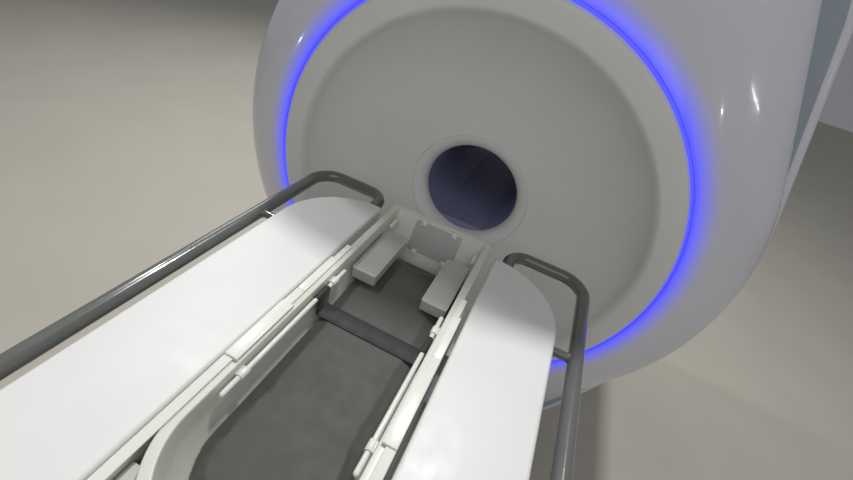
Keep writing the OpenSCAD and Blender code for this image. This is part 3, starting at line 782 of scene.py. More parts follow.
@dataclass
class Gantry:
    """The gantry: fascia, dish, flare, light, covers, plinth and what stands inside.

    Attributes:
        fascia: Outline of the fascia.
        covers: Outline of the covers behind it.
        bulge_w: Width of the fascia's bulge outside the light ring.
        bulge_d: Depth of the fascia's bulge.
        fascia_d: How far the fascia's edge lies back.
        collar: Depth of the fascia's return round the light.
        nose: Width and depth of the side covers' rolled front edge.
        tail: Width and depth of the rear cover's rolled back edge.
        rear_d: Depth of the rear cover.
        edge: Rounding of the covers' edges.
        fit: Gap where a spun piece meets its neighbour.
        wall: Wall of the covers.
        bore_r: Radius of the bore.
        flare_r: Radius of the flare.
        mouth_d: Depth where the flare meets the bore.
        rim_w: Width of the dish's rim.
        rim_rise: Height of the rim in front of the light.
        rim_roll: Width of the roll at the rim's outer edge.
        rim_lip: How far the rim's inner rounding reaches out and in.
        bowl: Powers of the bowl's curve, across and in depth.
        foot: Depth of the dish's rim and of the light guide.
        lip: Rounding of a flare's outer edge.
        sleeves: How far the front and the rear flare reach into the bore.
        depth: Depth of the gantry behind the light ring.
        seam: Gap between covers.
        floor_z: Height of the covers' underside from the axis.
        steps: Points round an outline.
        ring_steps: Steps round the dish and the light guide.
        flare_steps: Steps round a flare.
    """

    fascia: Ovoid = field(default_factory=lambda: Ovoid(0.720, 0.400, 27.0))
    covers: Ovoid = field(default_factory=lambda: Ovoid(0.740, 0.400, 19.5))
    bulge_w: float = 0.150
    bulge_d: float = 0.068
    fascia_d: float = 0.085
    collar: float = 0.040
    nose: Pair = (0.014, 0.024)
    tail: Pair = (0.060, 0.045)
    rear_d: float = 0.090
    edge: float = 0.0015
    fit: float = 0.0003
    wall: float = 0.008
    bore_r: float = 0.1415
    flare_r: float = 0.037
    mouth_d: float = 0.165
    rim_w: float = 0.063
    rim_rise: float = 0.014
    rim_roll: float = 0.013
    rim_lip: Pair = (0.013, 0.007)
    bowl: Pair = (2.2, 1.7)
    foot: float = 0.008
    lip: float = 0.0012
    sleeves: Pair = (0.004, 0.020)
    depth: float = 1.080
    seam: float = 0.003
    floor_z: float = -0.8897
    steps: int = 288
    ring_steps: int = 320
    flare_steps: int = 256

    @property
    def rim_in(self) -> float:
        """Gives the inner radius of the dish's rim.

        Returns:
            The radius in metres.
        """
        return RING_R - LIGHT_W / 2 - self.rim_w

    @property
    def mouth_r(self) -> float:
        """Gives the radius where the dish meets the flare.

        Returns:
            The radius in metres.
        """
        return self.bore_r + self.flare_r

    def build(self) -> None:
        """Builds and dresses every piece of the gantry."""
        self.build_fascia()
        self.build_dish()
        self.build_flares()
        self.build_light()
        self.build_covers()
        self.dress_inside()

    def build_fascia(self) -> None:
        """Builds the bulged front shell as one skin round the light ring."""
        inner = RING_R + LIGHT_W / 2 + self.fit
        bulge = [(self.bulge_w * (1 - s), self.bulge_d * (1 - c)) for s, c in arc(20)]
        edge = [(0.0, self.fascia_d - self.edge), (self.edge, self.fascia_d), (self.wall, self.fascia_d)]
        back = [(d + self.wall, y + self.wall) for d, y in reversed(bulge) if d < self.bulge_w * 0.94]
        lip = [(inner, self.collar), (inner, 0.0025), (inner + 0.0008, 0.0008), (inner + 0.0025, 0.0)]
        collar = [(inner + self.wall, self.wall + 0.001), (inner + self.wall, self.collar)]
        shell = rings(lip, self.steps) + rings(bulge + edge + back, self.steps, self.fascia)
        bm = skinned(shell + rings(collar, self.steps), closed=True)
        piece("fascia_shell", bm, Finishes.fascia, Body.GANTRY, "front_fascia")

    def dish_depth(self, r: float) -> float:
        """Gives the dish's depth at a radius.

        Args:
            r: Distance from the bore axis.

        Returns:
            Depth behind the light ring.
        """
        share = min(max((r - self.mouth_r) / (self.rim_in - self.mouth_r), 0.0), 1.0)
        floor = self.mouth_d - self.flare_r
        across, deep = self.bowl
        return -self.rim_rise + (floor + self.rim_rise) * (1 - share**across) ** (1 / deep)

    def build_dish(self) -> None:
        """Builds the dish and its rolled rim by spinning."""
        rim_in, edge = self.rim_in, RING_R - LIGHT_W / 2
        width = rim_in - self.mouth_r
        flat, fall = rim_in + self.rim_lip[0], rim_in - self.rim_lip[1]
        lips = []
        for k in range(1, 13):
            t = k / 12
            lips.append(((1 - t) ** 2 * flat + 2 * t * (1 - t) * rim_in + t * t * fall,
                         -self.rim_rise * (1 - t * t) + t * t * self.dish_depth(fall)))
        bowl = [rim_in - width * (1 - c) for _, c in arc(44)]
        front = [(r, self.dish_depth(r)) for r in bowl if r < fall - 0.0005]
        back = [(r + 0.004 * (r - self.mouth_r) / width, self.dish_depth(r) + self.wall)
                for r in reversed(bowl[2:])]
        under = [(rim_in + 0.008, -0.002), (edge - 0.012, -0.002), (edge - 0.012, self.foot)]
        rim = [(edge - self.fit, self.foot)]
        rim += [(edge - self.fit - self.rim_roll * (1 - c), -self.rim_rise * s) for s, c in arc(8)]
        bm = spun(lips + front + back + under + rim, self.ring_steps, CENTRE)
        piece("dish_bowl", bm, Finishes.dish, Body.GANTRY, "front_dish", crease=50.0)

    def build_flares(self) -> None:
        """Builds the flare at the bore's mouth and its mirror at the back."""
        seat, thin = self.mouth_r - self.fit, self.flare_r - self.wall
        curve = [(self.mouth_r - self.flare_r * s, self.flare_r * (1 - c)) for s, c in arc(24)]
        curve[0] = (self.mouth_r - self.lip, 0.00002)
        inner = [(self.mouth_r - thin * s, self.flare_r - thin * c) for s, c in arc(24)]
        for name, node, origin, way, sleeve in (
            ("mouth_flare", "bore_flare", self.mouth_d - self.flare_r, 1.0, self.sleeves[0]),
            ("rear_flare_form", "rear_flare", self.depth, -1.0, self.sleeves[1]),
        ):
            end = self.flare_r + sleeve
            profile = [(seat, self.lip), *curve, (self.bore_r, end), (self.bore_r + self.wall, end),
                       *reversed(inner), (seat, self.wall)]
            bm = spun([(r, origin + way * d) for r, d in profile], self.flare_steps, CENTRE)
            piece(name, bm, Finishes.flare, Body.GANTRY, node, crease=50.0)

    def build_light(self) -> None:
        """Builds the light guide with a softly crowned face."""
        half, face, rise = LIGHT_W / 2, 0.0035, 0.0025
        turns = [math.pi * k / 12 for k in range(13)]
        crown = [(RING_R + half * math.cos(turn), face - rise * math.sin(turn)) for turn in turns]
        foot = [(RING_R - half, self.foot), (RING_R + half, self.foot)]
        bm = spun(crown + foot, self.ring_steps, CENTRE)
        piece("light_guide", bm, Finishes.light, Body.GANTRY, "light_ring")

    def build_covers(self) -> None:
        """Builds the side covers and the rear cover as smooth shells."""
        front, back = self.fascia_d + self.seam, self.depth - self.rear_d
        nose = [(self.nose[0] * (1 - s), front + self.nose[1] * (1 - c)) for s, c in arc(16)]
        body = nose + [(0.0, back - self.edge), (self.edge, back), (self.wall, back)]
        inside = [(d + self.wall, y) for d, y in reversed(nose)]
        for side, node in ((-1, "side_cover_left"), (1, "side_cover_right")):
            bm = skinned(rings(body + inside, self.steps, self.covers), closed=True)
            self.trim(bm, (side, 0.0, 0.0), (side * self.seam / 2, 0.0, 0.0))
            self.trim(bm, (0.0, 0.0, 1.0), (0.0, 0.0, AXIS_H + self.floor_z))
            piece(node + "_form", bm, Finishes.cover, Body.GANTRY, node)
        self.build_rear_cover(back + self.seam)

    def build_rear_cover(self, start: float) -> None:
        """Builds the rear cover with its rounded edge and the hole for the rear flare.

        Args:
            start: Depth of its front edge.
        """
        tail = [(self.tail[0] * (1 - c), self.depth - self.tail[1] * (1 - s)) for s, c in arc(16)]
        outside = [(self.edge, start), (0.0, start + self.edge)] + tail
        inside = [(d + self.wall, min(y, self.depth - self.wall)) for d, y in reversed(outside)]
        hole = self.mouth_r + self.fit
        lip = [(hole + 0.001, self.depth), (hole, self.depth - 0.001), (hole, self.depth - self.wall)]
        shell = rings(outside, self.steps, self.covers) + rings(lip, self.steps)
        bm = skinned(shell + rings(inside, self.steps, self.covers), closed=True)
        self.trim(bm, (0.0, 0.0, 1.0), (0.0, 0.0, AXIS_H + self.floor_z))
        piece("rear_cover_form", bm, Finishes.cover, Body.GANTRY, "rear_cover")

    @staticmethod
    def trim(bm: BMesh, normal: Point, point: Point) -> None:
        """Cuts a closed shell by a plane and closes the cut.

        Args:
            bm: The shell.
            normal: Direction of the side that stays.
            point: A point on the plane.
        """
        geom = list(bm.verts) + list(bm.edges) + list(bm.faces)
        away = -Vector(normal)
        cut = bmesh.ops.bisect_plane(bm, geom=geom, plane_co=point, plane_no=away, clear_outer=True)
        edges = [item for item in cut["geom_cut"] if isinstance(item, BMEdge)]
        bmesh.ops.holes_fill(bm, edges=edges, sides=0)

    def dress_inside(self) -> None:
        """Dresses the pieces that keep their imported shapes."""
        for finish, nodes in (
            (Finishes.channel, ("light_channel",)),
            (Finishes.seam, ("front_frame",)),
            (Finishes.steel, ("rear_frame", "magnet_legs", "base_frame")),
            (Finishes.bore, ("bore_liner",)),
            (Finishes.deck, ("bore_deck",)),
            (Finishes.coil, ("rf_coil",)),
            (Finishes.gradient, ("gradient_coil",)),
            (Finishes.vessel, ("magnet_vessel", "cold_head", "service_turret")),
        ):
            for node in nodes:
                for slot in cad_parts[node].material_slots:
                    slot.material = finish.make()
        softened("plinth", Finishes.plinth, Body.GANTRY, 0.004, 4, 60.0)


# ---------------------------------------------------------------- trolley


@dataclass
class Trolley:
    """The trolley: shelves, handrails, guide rails, pan, column, chassis and castors.

    Attributes:
        shelf_in: Distance from the middle to a shelf's inner edge.
        shelf_w: Width of a shelf.
        shelf_t: Thickness of a shelf.
        shelf_top: Height of the shelf tops above the bore axis.
        tip_gap: Distance from the light ring to the shelf tips.
        shelf_len: Length of a shelf.
        tip_r: Radius of the shelf's outer corner.
        foot_r: Radius of the corners at the shelf's foot.
        inner_r: Radius of the shelf's corner beside the tray.
        edges: Rounding of the shelf's upper and lower edge.
        tube_r: Radius of the handrail.
        rail_x: Distance from the middle to the handrail's long run.
        rail_drop: Depth of the handrail below the shelf tops.
        leg_x: Distance from the middle to the handrail's legs.
        leg_in: How far the legs reach in under the shelf.
        rail_ahead: Distance from the shelf tips to the cross run.
        stay_y: Distance from the cross run to the stand-off.
        stay_r: Radius of a stand-off.
        stay_in: How far a stand-off starts inside the shelf.
        bend_out: Radius of the outer bend.
        bend_in: Radius of the inner bend.
        wheel_r: Radius of the castor wheels.
        wheel_w: Width of the castor wheels.
    """

    shelf_in: float = 0.155
    shelf_w: float = 0.176
    shelf_t: float = 0.050
    shelf_top: float = 0.009
    tip_gap: float = 0.124
    shelf_len: float = 1.170
    tip_r: float = 0.166
    foot_r: float = 0.036
    inner_r: float = 0.012
    edges: Pair = (0.0075, 0.004)
    tube_r: float = 0.0155
    rail_x: float = 0.383
    rail_drop: float = 0.026
    leg_x: float = 0.189
    leg_in: float = 0.029
    rail_ahead: float = 0.084
    stay_y: float = 0.264
    stay_r: float = 0.0093
    stay_in: float = 0.004
    bend_out: float = 0.060
    bend_in: float = 0.045
    wheel_r: float = 0.050
    wheel_w: float = 0.026

    def build(self) -> None:
        """Builds and dresses every piece of the trolley."""
        for side, word in ((-1, "left"), (1, "right")):
            self.build_shelf(side, word)
            self.build_handrail(side, word)
            for part in ("front", "rear"):
                softened(f"side_rail_{part}_{word}", Finishes.guide, Body.TROLLEY, 0.0022, 4)
        for node, finish, width, segments, angle in (
            ("cradle_pan", Finishes.pan, 0.004, 4, 35.0),
            ("shelf_brackets", Finishes.chassis, 0.002, 3, 35.0),
            ("column", Finishes.column, 0.003, 4, 60.0),
            ("chassis", Finishes.chassis, 0.004, 4, 60.0),
        ):
            softened(node, finish, Body.TROLLEY, width, segments, angle)
        for k in range(1, 5):
            self.build_castor(k)

    def build_shelf(self, side: int, word: str) -> None:
        """Builds a shelf with its large round corner and rolled edges.

        Args:
            side: -1 for left, 1 for right.
            word: The side's name.
        """
        out = self.shelf_in + self.shelf_w
        head = -self.tip_gap
        foot = head - self.shelf_len
        bm = bmesh.new()
        verts = [bm.verts.new(at_ring(side * x, y, self.shelf_top - self.shelf_t))
                 for x, y in ((self.shelf_in, foot), (out, foot), (out, head), (self.shelf_in, head))]
        bm.faces.new(verts)
        corners = ((self.foot_r, 12), (self.foot_r, 12), (self.tip_r, 48), (self.inner_r, 8))
        for vert, (radius, steps) in zip(verts, corners):
            rounded(bm, [vert], radius, steps, "VERTICES")
        faces = bmesh.ops.extrude_face_region(bm, geom=list(bm.faces))["geom"]
        lifted = [item for item in faces if isinstance(item, BMVert)]
        bmesh.ops.translate(bm, verts=lifted, vec=(0.0, 0.0, self.shelf_t))
        bmesh.ops.recalc_face_normals(bm, faces=bm.faces)
        top = AXIS_H + self.shelf_top
        for height, width, segments in ((top, self.edges[0], 8), (top - self.shelf_t, self.edges[1], 4)):
            rim = [edge for edge in bm.edges
                   if all(abs(vert.co.z - height) < 0.0001 for vert in edge.verts)
                   and edge.calc_face_angle(0.0) > 1.0]
            rounded(bm, rim, width, segments)
        piece(f"shelf_{word}_form", bm, Finishes.shelf, Body.TROLLEY, f"shelf_{word}", crease=30.0)

    def build_handrail(self, side: int, word: str) -> None:
        """Bends a handrail from one tube and adds its stand-offs.

        Args:
            side: -1 for left, 1 for right.
            word: The side's name.
        """
        z = self.shelf_top - self.rail_drop
        start = -self.tip_gap - self.leg_in
        cross = -self.tip_gap + self.rail_ahead
        foot = -self.tip_gap - self.shelf_len - self.rail_ahead
        inner, outer = side * (self.leg_x + self.bend_in), side * (self.rail_x - self.bend_out)
        bm = bmesh.new()
        edges = hoop(bm, at_ring(side * self.leg_x, start, z), self.tube_r, 40, capped=True)
        edges = run(bm, edges, (0.0, cross - self.bend_in - start))
        for x, y, way in (
            (inner, cross - self.bend_in, (outer - inner, 0.0)),
            (outer, cross - self.bend_out, (0.0, foot - cross + 2 * self.bend_out)),
            (outer, foot + self.bend_out, (inner - outer, 0.0)),
            (inner, foot + self.bend_in, (0.0, self.rail_ahead - self.bend_in + self.leg_in)),
        ):
            edges = run(bm, bend(bm, edges, at_ring(x, y, z), -side * 90, 20), way)
        bmesh.ops.edgeloop_fill(bm, edges=edges)
        for y in (cross - self.stay_y, foot + self.stay_y):
            self.stand_off(bm, side, self.shelf_in + self.shelf_w - self.stay_in, y, z)
        bmesh.ops.recalc_face_normals(bm, faces=bm.faces)
        piece(f"handrail_{word}_form", bm, Finishes.rail, Body.TROLLEY, f"handrail_{word}", crease=50.0)

    def stand_off(self, bm: BMesh, side: int, x: float, y: float, z: float) -> None:
        """Adds a stand-off with a small weld fillet where it meets the tube.

        Args:
            bm: The mesh.
            side: -1 for left, 1 for right.
            x: Where it leaves the shelf.
            y: Its place along the rail.
            z: Height of its axis.
        """
        r = self.stay_r
        end = self.rail_x - self.tube_r * 0.75
        fillet = [(r, 0.009), (r + 0.0008, 0.004), (r + 0.0026, 0.001), (r + 0.0042, 0.0), (0.0, 0.0)]
        profile = [(0.0, 0.0), (r, 0.0)] + [(radius, end - short - x) for radius, short in fillet]
        part = spun(profile, 32, Vector(), closed=False)
        turn = Matrix.Rotation(math.radians(-side * 90), 4, "Z")
        bmesh.ops.transform(part, matrix=Matrix.Translation(at_ring(side * x, y, z)) @ turn, verts=part.verts)
        mesh = meshed("stand_off", part)
        bm.from_mesh(mesh)
        bpy.data.meshes.remove(mesh)

    def build_castor(self, k: int) -> None:
        """Builds a castor's fork, axle and wheel.

        Args:
            k: Number of the castor.
        """
        softened(f"castor_fork_{k}", Finishes.fork, f"castor_{k}", 0.0012, 2)
        softened(f"castor_axle_{k}", Finishes.fork, f"castor_{k}", 0.0008, 2)
        low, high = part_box(f"castor_wheel_{k}")
        centre = (low + high) / 2
        half, r = self.wheel_w / 2, self.wheel_r
        tread = [(r - 0.012, -half), (r - 0.005, -half), (r - 0.0015, -half + 0.003), (r, -half + 0.008)]
        tyre = tread + [(x, -y) for x, y in reversed(tread)]
        face = [(r - 0.012, half - 0.002), (r - 0.020, half - 0.007), (0.016, half - 0.007), (0.014, half),
                (0.0061, half)]
        disc = face + [(x, -y) for x, y in reversed(face)]
        for name, profile, finish, nodes in (
            (f"tyre_{k}", tyre, Finishes.tyre, (f"castor_wheel_{k}",)),
            (f"wheel_disc_{k}", disc, Finishes.channel, ()),
        ):
            bm = spun(profile, 64, Vector())
            turn = Matrix.Rotation(math.radians(90), 4, "Z")
            bmesh.ops.transform(bm, matrix=Matrix.Translation(centre) @ turn, verts=bm.verts)
            piece(name, bm, finish, f"wheel_{k}", *nodes)


# ---------------------------------------------------------------- padding


@dataclass(frozen=True)
class Padding:
    """Swells a closed cushion form with a cloth simulation and caps how far it moves.

    Attributes:
        voxel: Cell of the remesh.
        pressure: Pressure inside the cloth.
        travel: Furthest that a point may move.
        frames: Frames of the simulation.
    """

    voxel: float = 0.005
    pressure: float = 4.0
    travel: float = 0.006
    frames: int = 20

    def swell(self, obj: bpy.types.Object, freedom: Callable[[Vector], float], ceiling: float) -> None:
        """Swells the form where it is free to move.

        Args:
            obj: The cushion, whose mesh is replaced.
            freedom: Share of the movement that a point keeps, from 0 to 1.
            ceiling: Height that nothing rises above.
        """
        rest = self.remeshed(obj)
        moved = self.simulated(rest)
        for vert, place in zip(rest.data.vertices, moved):
            step = place - vert.co
            if step.length > self.travel:
                step = step * (self.travel / step.length)
            vert.co = vert.co + step * freedom(vert.co)
            vert.co.z = min(vert.co.z, ceiling)
        mesh = rest.data.copy()
        bpy.data.objects.remove(rest)
        mesh.materials.clear()
        mesh.materials.append(obj.data.materials[0])
        mesh.name = obj.data.name
        obj.data = mesh
        obj.data.shade_smooth()
        levels = obj.modifiers.new("subdivision", "SUBSURF")
        levels.levels = 1
        levels.render_levels = 1

    def remeshed(self, obj: bpy.types.Object) -> bpy.types.Object:
        """Copies a form as an even net of cells.

        Args:
            obj: The form.

        Returns:
            The copy.
        """
        copy = added(obj.name + "_sim", obj.data.copy())
        remesh = copy.modifiers.new("remesh", "REMESH")
        remesh.mode = "VOXEL"
        remesh.voxel_size = self.voxel
        graph = bpy.context.evaluated_depsgraph_get()
        mesh = bpy.data.meshes.new_from_object(copy.evaluated_get(graph))
        copy.modifiers.clear()
        copy.data = mesh
        return copy

    def simulated(self, obj: bpy.types.Object) -> list[Vector]:
        """Runs the cloth and gives where its points end.

        Args:
            obj: The form.

        Returns:
            The place of each point.
        """
        cloth = obj.modifiers.new("cloth", "CLOTH")
        cloth.settings.use_pressure = True
        cloth.settings.uniform_pressure_force = self.pressure
        cloth.settings.effector_weights.gravity = 0.0
        cloth.settings.quality = 6
        cloth.settings.tension_stiffness = 20.0
        cloth.settings.bending_stiffness = 4.0
        scene = bpy.context.scene
        for index in range(1, self.frames + 1):
            scene.frame_set(index)
        graph = bpy.context.evaluated_depsgraph_get()
        places = [vert.co.copy() for vert in obj.evaluated_get(graph).data.vertices]
        obj.modifiers.clear()
        scene.frame_set(1)
        return places


PADDING = Padding()

# ---------------------------------------------------------------- tray


@dataclass
class Tray:
    """The tub-shaped tray with what lies in it.

    Attributes:
        half: Half the width over the rim.
        rim: Width of the rim along the sides.
        head_rim: Width of the rim at the head end.
        rim_t: Thickness of the rim.
        roll: Radius of the rim's rolled edges.
        corners: Radius of the head corners under the rim, round it and inside.
        top: Height of the rim above the bore axis.
        wall: Wall of the tub.
        gap: Distance from the light ring to the head end.
        foot_y: Place of the round foot's centre.
        depth: Depth of the tub inside.
        curve: The wall from rim to floor, as share of depth and share of width.
        head_run: How far the head wall slopes in.
        foot_run: How far the foot wall slopes in beyond the sides.
        mattress_t: Thickness of the mattress.
        mattress_gap: Distance from the tray's head end to the mattress.
        mattress_roll: Radius of the mattress's upper edge.
        mattress_corner: Radius of the mattress's head corners.
        play: Gap between the mattress and the walls.
        crown: Height left for the mattress to swell.
        pad_play: How much smaller a pad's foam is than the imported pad.
        pad_round: Rounding of a pad's edges.
        pad_sag: How far a pad's top falls towards its edges.
        cord_r: Radius of the pads' piping.
        cord_bend: Radius of the piping's corners.
    """

    half: float = 0.1355
    rim: float = 0.017
    head_rim: float = 0.013
    rim_t: float = 0.006
    roll: float = 0.0028
    corners: Point = (0.013, 0.014, 0.008)
    top: float = 0.014
    wall: float = 0.005
    gap: float = 0.085
    foot_y: float = -0.7415
    depth: float = 0.1277
    curve: tuple[Pair, ...] = (
        (0.0, 1.0), (0.33, 0.985), (0.55, 0.93), (0.75, 0.79), (0.90, 0.63), (1.0, 0.46))
    head_run: float = 0.067
    foot_run: float = 0.020
    mattress_t: float = 0.070
    mattress_gap: float = 0.110
    mattress_roll: float = 0.012
    mattress_corner: float = 0.020
    play: float = 0.002
    crown: float = 0.004
    pad_play: float = 0.001
    pad_round: float = 0.0035
    pad_sag: float = 0.0015
    cord_r: float = 0.0011
    cord_bend: float = 0.004

    def build(self) -> None:
        """Builds and dresses every piece of the tray."""
        self.build_tub()
        softened("foot_board", Finishes.tray, Body.TRAY, 0.0015, 3)
        self.build_mattress()
        for node, finish in (("head_plate", Finishes.plate), ("plate_tabs", Finishes.peg)):
            softened(node, finish, Body.TRAY, 0.0008, 2)
        for word in ("left", "right"):
            self.build_pad(word)
            self.build_pin(f"head_peg_{word}", 0.0022, 4, 40)
            self.build_pin(f"strap_bar_{word}", math.inf, 6, 32)
        softened("bar_clips", Finishes.peg, Body.TRAY, 0.0008, 2)
        softened("strap", Finishes.strap, Body.TRAY, 0.0005, 2)

    def width(self, share: float) -> float:
        """Gives the tub's inside half width at a share of its depth.

        Args:
            share: Share of the depth from rim to floor.

        Returns:
            Half the width in metres.
        """
        for (a, va), (b, vb) in zip(self.curve, self.curve[1:]):
            if share <= b:
                t = (share - a) / (b - a)
                return (self.half - self.rim) * (va + (vb - va) * t)
        return (self.half - self.rim) * self.curve[-1][1]

    def plan(self, half: float, foot_y: float, head: float, corner: float, z: float) -> list[Vector]:
        """Gives an outline with a round foot and a straight head.

        Args:
            half: Half the width.
            foot_y: Place of the round foot's centre.
            head: Place of the head end.
            corner: Radius of the head's corners.
            z: Height above the bore axis.

        Returns:
            The points in turn.
        """
        flank = [foot_y + (head - corner - foot_y) * k / 10 for k in range(1, 10)]
        turns = [math.pi + math.pi * k / 48 for k in range(49)]
        points = [(half * math.cos(turn), foot_y + half * math.sin(turn)) for turn in turns]
        points += [(half, y) for y in flank]
        points += [(half - corner + corner * c, head - corner + corner * s) for s, c in arc(10)]
        points += [(corner - half - corner * s, head - corner + corner * c) for s, c in arc(10)]
        points += [(-half, y) for y in reversed(flank)]
        return [at_ring(x, y, z) for x, y in points]

    def build_tub(self) -> None:
        """Builds the tub as one skin from its underside over the rim to its floor."""
        shares = [k / 14 for k in range(15)]
        head, under = -self.gap - self.head_rim, self.top - self.rim_t
        below, outside, inside = self.corners
        rows = []
        for share in reversed(shares):
            z = self.top - share * self.depth - (self.wall if share == 1.0 else 0.0)
            rows.append((self.width(share) + self.wall, self.foot_y + self.foot_run * share,
                         head - self.head_run * share + self.wall, below, min(z, under - 0.0002)))
        edge = [(0.0012, under), (0.0, under + 0.0012)]
        edge += [(self.roll * (1 - c), self.top - self.roll * (1 - s)) for s, c in arc(5)]
        rows += [(self.half - inset, self.foot_y, -self.gap - inset, outside, z) for inset, z in edge]
        edge = [(self.roll * (1 - s), self.top - self.roll * (1 - c)) for s, c in arc(5)]
        rows += [(self.half - self.rim + inset, self.foot_y, head + inset, inside, z) for inset, z in edge]
        rows += [(self.width(share), self.foot_y + self.foot_run * share, head - self.head_run * share,
                  inside, self.top - share * self.depth) for share in shares[1:]]
        bm = skinned([self.plan(*row) for row in rows])
        piece("tray_tub", bm, Finishes.tray, Body.TRAY, "tray", crease=30.0)

    def build_mattress(self) -> None:
        """Builds the mattress, crowned and rolled at its edges."""
        floor = self.top - self.depth + 0.0003
        top = floor + self.mattress_t
        head = -self.gap - self.mattress_gap
        foot = self.foot_y + self.foot_run
        roll, corner = self.mattress_roll, self.mattress_corner
        rows = []
        for k in range(11):
            z = floor + (self.mattress_t - roll) * k / 10
            rows.append((self.width((self.top - z) / self.depth) - self.play, foot, head, corner, z))
        side = self.width((self.top - top) / self.depth) - self.play
        edge = [(roll * (1 - c), top - roll + (roll - self.crown) * s) for s, c in arc(6)[1:]]
        rows += [(side - inset, foot, head - inset, corner - inset * 0.5, z) for inset, z in edge]
        rows += [(side - inset, foot, head - inset, corner / 2, top - self.crown)
                 for inset in (0.020, 0.032, 0.048, 0.066)]
        bm = skinned([self.plan(*row) for row in rows])
        obj = piece("mattress_cushion", bm, Finishes.mattress, Body.TRAY, "mattress", crease=60.0)
        still = AXIS_H + top - 0.022
        PADDING.swell(obj, lambda point: min(max((point.z - still) / 0.012, 0.0), 1.0), AXIS_H + top)

    def build_pad(self, word: str) -> None:
        """Builds a head pad with its piping.

        Args:
            word: The side's name.
        """
        low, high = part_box(f"head_pad_{word}")
        size, middle = high - low, (low + high) / 2
        bm = bmesh.new()
        bmesh.ops.create_cube(bm, size=1.0)
        bmesh.ops.scale(bm, vec=size - Vector((self.pad_play,) * 3), verts=bm.verts)
        bmesh.ops.translate(bm, vec=middle, verts=bm.verts)
        rounded(bm, list(bm.edges), self.pad_round, 4)
        bmesh.ops.subdivide_edges(bm, edges=[edge for edge in bm.edges if edge.calc_length() > 0.02], cuts=14,
                                  use_grid_fill=True)
        for vert in bm.verts:
            if vert.co.z > high.z - 0.004:
                u = (vert.co.x - middle.x) / (size.x / 2)
                v = (vert.co.y - middle.y) / (size.y / 2)
                vert.co.z -= self.pad_sag * (1 - (1 - u**4) * (1 - v**4))
        obj = piece(f"head_pad_{word}_foam", bm, Finishes.pad, Body.TRAY, f"head_pad_{word}", crease=60.0)
        self.build_piping(word, low, high)

    def build_piping(self, word: str, low: Vector, high: Vector) -> None:
        """Builds the cord of piping round a pad's top.

        Args:
            word: The side's name.
            low: The pad's lowest corner.
            high: The pad's highest corner.
        """
        inset = self.cord_bend * 1.25
        x0, x1, y0, y1 = low.x + inset, high.x - inset, low.y + inset, high.y - inset
        z = high.z - 2 * self.cord_r
        bm = bmesh.new()
        edges = hoop(bm, Vector((x0 - self.cord_bend, y0, z)), self.cord_r, 12, capped=False)
        for x, y, way in (
            (x0, y1, (0.0, y1 - y0)),
            (x1, y1, (x1 - x0, 0.0)),
            (x1, y0, (0.0, y0 - y1)),
            (x0, y0, (x0 - x1, 0.0)),
        ):
            edges = bend(bm, run(bm, edges, way), Vector((x, y, z)), -90, 6)
        bmesh.ops.remove_doubles(bm, verts=bm.verts, dist=0.00002)
        bmesh.ops.recalc_face_normals(bm, faces=bm.faces)
        piece(f"head_pad_{word}_piping", bm, Finishes.piping, Body.TRAY, crease=60.0)

    @staticmethod
    def build_pin(node: str, dome: float, rounds: int, steps: int) -> None:
        """Builds a peg or a strap bar with rounded ends.

        Args:
            node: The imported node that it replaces.
            dome: Radius of the rounding, at most the pin's own.
            rounds: Steps of the rounding.
            steps: Steps round the pin.
        """
        low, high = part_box(node)
        r, half = (high.x - low.x) / 2, (high.y - low.y) / 2
        dome = min(dome, r)
        end = [(0.0, -half)] if dome < r else []
        end += [(r - dome + dome * s, -half + dome * (1 - c)) for s, c in arc(rounds)]
        bm = spun(end + [(x, -y) for x, y in reversed(end)], steps, (low + high) / 2, closed=False)
        piece(f"{node}_form", bm, Finishes.peg, Body.TRAY, node)


# ---------------------------------------------------------------- studio


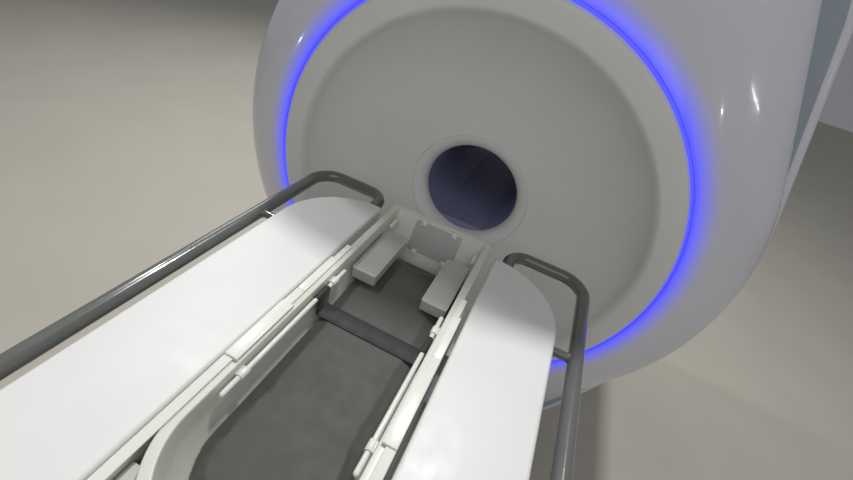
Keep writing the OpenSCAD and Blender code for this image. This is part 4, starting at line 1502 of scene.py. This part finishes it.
@dataclass
class Studio:
    """Floor, lamps, world and camera.

    Attributes:
        floor: Colour of the floor.
        lens: Focal length in millimetres.
        eye: Place of the camera.
        axes: The camera's right, down and forward.
    """

    floor: Rgb = (0.76, 0.74, 0.69)
    lens: float = 16.959
    eye: Point = (0.1660, -1.4703, 1.5713)
    axes: tuple[Point, Point, Point] = (
        (0.896027, 0.379393, 0.230644),
        (0.404512, -0.483394, -0.776338),
        (-0.183045, 0.788918, -0.586603),
    )

    def build(self) -> None:
        """Builds the studio."""
        self.build_floor()
        self.build_lamps()
        self.build_camera()

    def build_floor(self) -> None:
        """Lays a plain pale floor that the camera sees as it is."""
        bm = bmesh.new()
        bmesh.ops.create_grid(bm, x_segments=1, y_segments=1, size=14.0)
        mesh = meshed("floor", bm)
        obj = added("floor", mesh)
        nodes = Nodes("floor_plain")
        base = Finish("", "", self.floor)
        colour = nodes.ramp(nodes.noise(2.0, 3.0), [(0.3, base.shade(0.97)), (0.7, base.shade(1.03))])
        nodes.feed(nodes.shader, {"Roughness": 0.6, "Base Color": colour})
        mesh.materials.append(nodes.material)

    def build_lamps(self) -> None:
        """Hangs the lamps and sets the world."""
        world = bpy.data.worlds.new("studio")
        bpy.context.scene.world = world
        world.use_nodes = True
        sky = world.node_tree.nodes["Background"].inputs
        sky["Color"].default_value = (0.88, 0.90, 0.94, 1.0)
        sky["Strength"].default_value = 0.20
        lamps = (
            ("ceiling", (0.6, -3.0, 3.2), (3.0, 2.2), 20.0, (0.0, -0.4, 1.0)),
            ("key", (0.1, 0.80, 5.0), (0.28, 0.28), 97.0, (0.0, -1.1, 1.0)),
            ("key_left", (-2.2, 0.60, 4.5), (0.28, 0.28), 36.0, (0.0, -1.1, 1.0)),
            ("back", (-3.4, 2.8, 3.6), (3.0, 2.0), 55.0, (0.0, 0.4, 0.9)),
            ("strip_right", (2.35, -2.84, 1.70), (0.50, 0.015), 0.9, (0.46, -0.53, 1.48)),
            ("dot_right", (1.46, -3.34, 1.16), (0.05, 0.03), 0.25, (0.43, -0.54, 1.44)),
            ("dot_left", (-2.51, -2.71, 0.73), (0.05, 0.05), 0.25, (-0.52, -0.54, 1.29)),
        )
        for name, place, size, power, aim in lamps:
            light = bpy.data.lights.new(name, "AREA")
            light.shape = "RECTANGLE"
            light.size, light.size_y = size
            light.energy = power
            obj = added(name, light)
            obj.location = place
            obj.rotation_euler = (Vector(aim) - Vector(place)).to_track_quat("-Z", "Y").to_euler()

    def build_camera(self) -> None:
        """Sets the camera at the photograph's place and angle."""
        camera = bpy.data.cameras.new("camera")
        camera.lens = self.lens
        camera.sensor_width = 36.0
        camera.clip_start = 0.02
        obj = added("camera", camera)
        right, down, forward = (Vector(axis).normalized() for axis in self.axes)
        turn = Matrix((right, -down, -forward)).transposed().to_4x4()
        obj.matrix_world = Matrix.Translation(Vector(self.eye)) @ turn
        bpy.context.scene.camera = obj
        bpy.context.scene.view_settings.view_transform = "Standard"


def main() -> None:
    """Builds the scanner and its studio."""
    logging.basicConfig(level=logging.INFO, format="%(name)s: %(message)s")
    Studio().build()
    Gantry().build()
    Trolley().build()
    Tray().build()


if __name__ == "__main__":
    main()
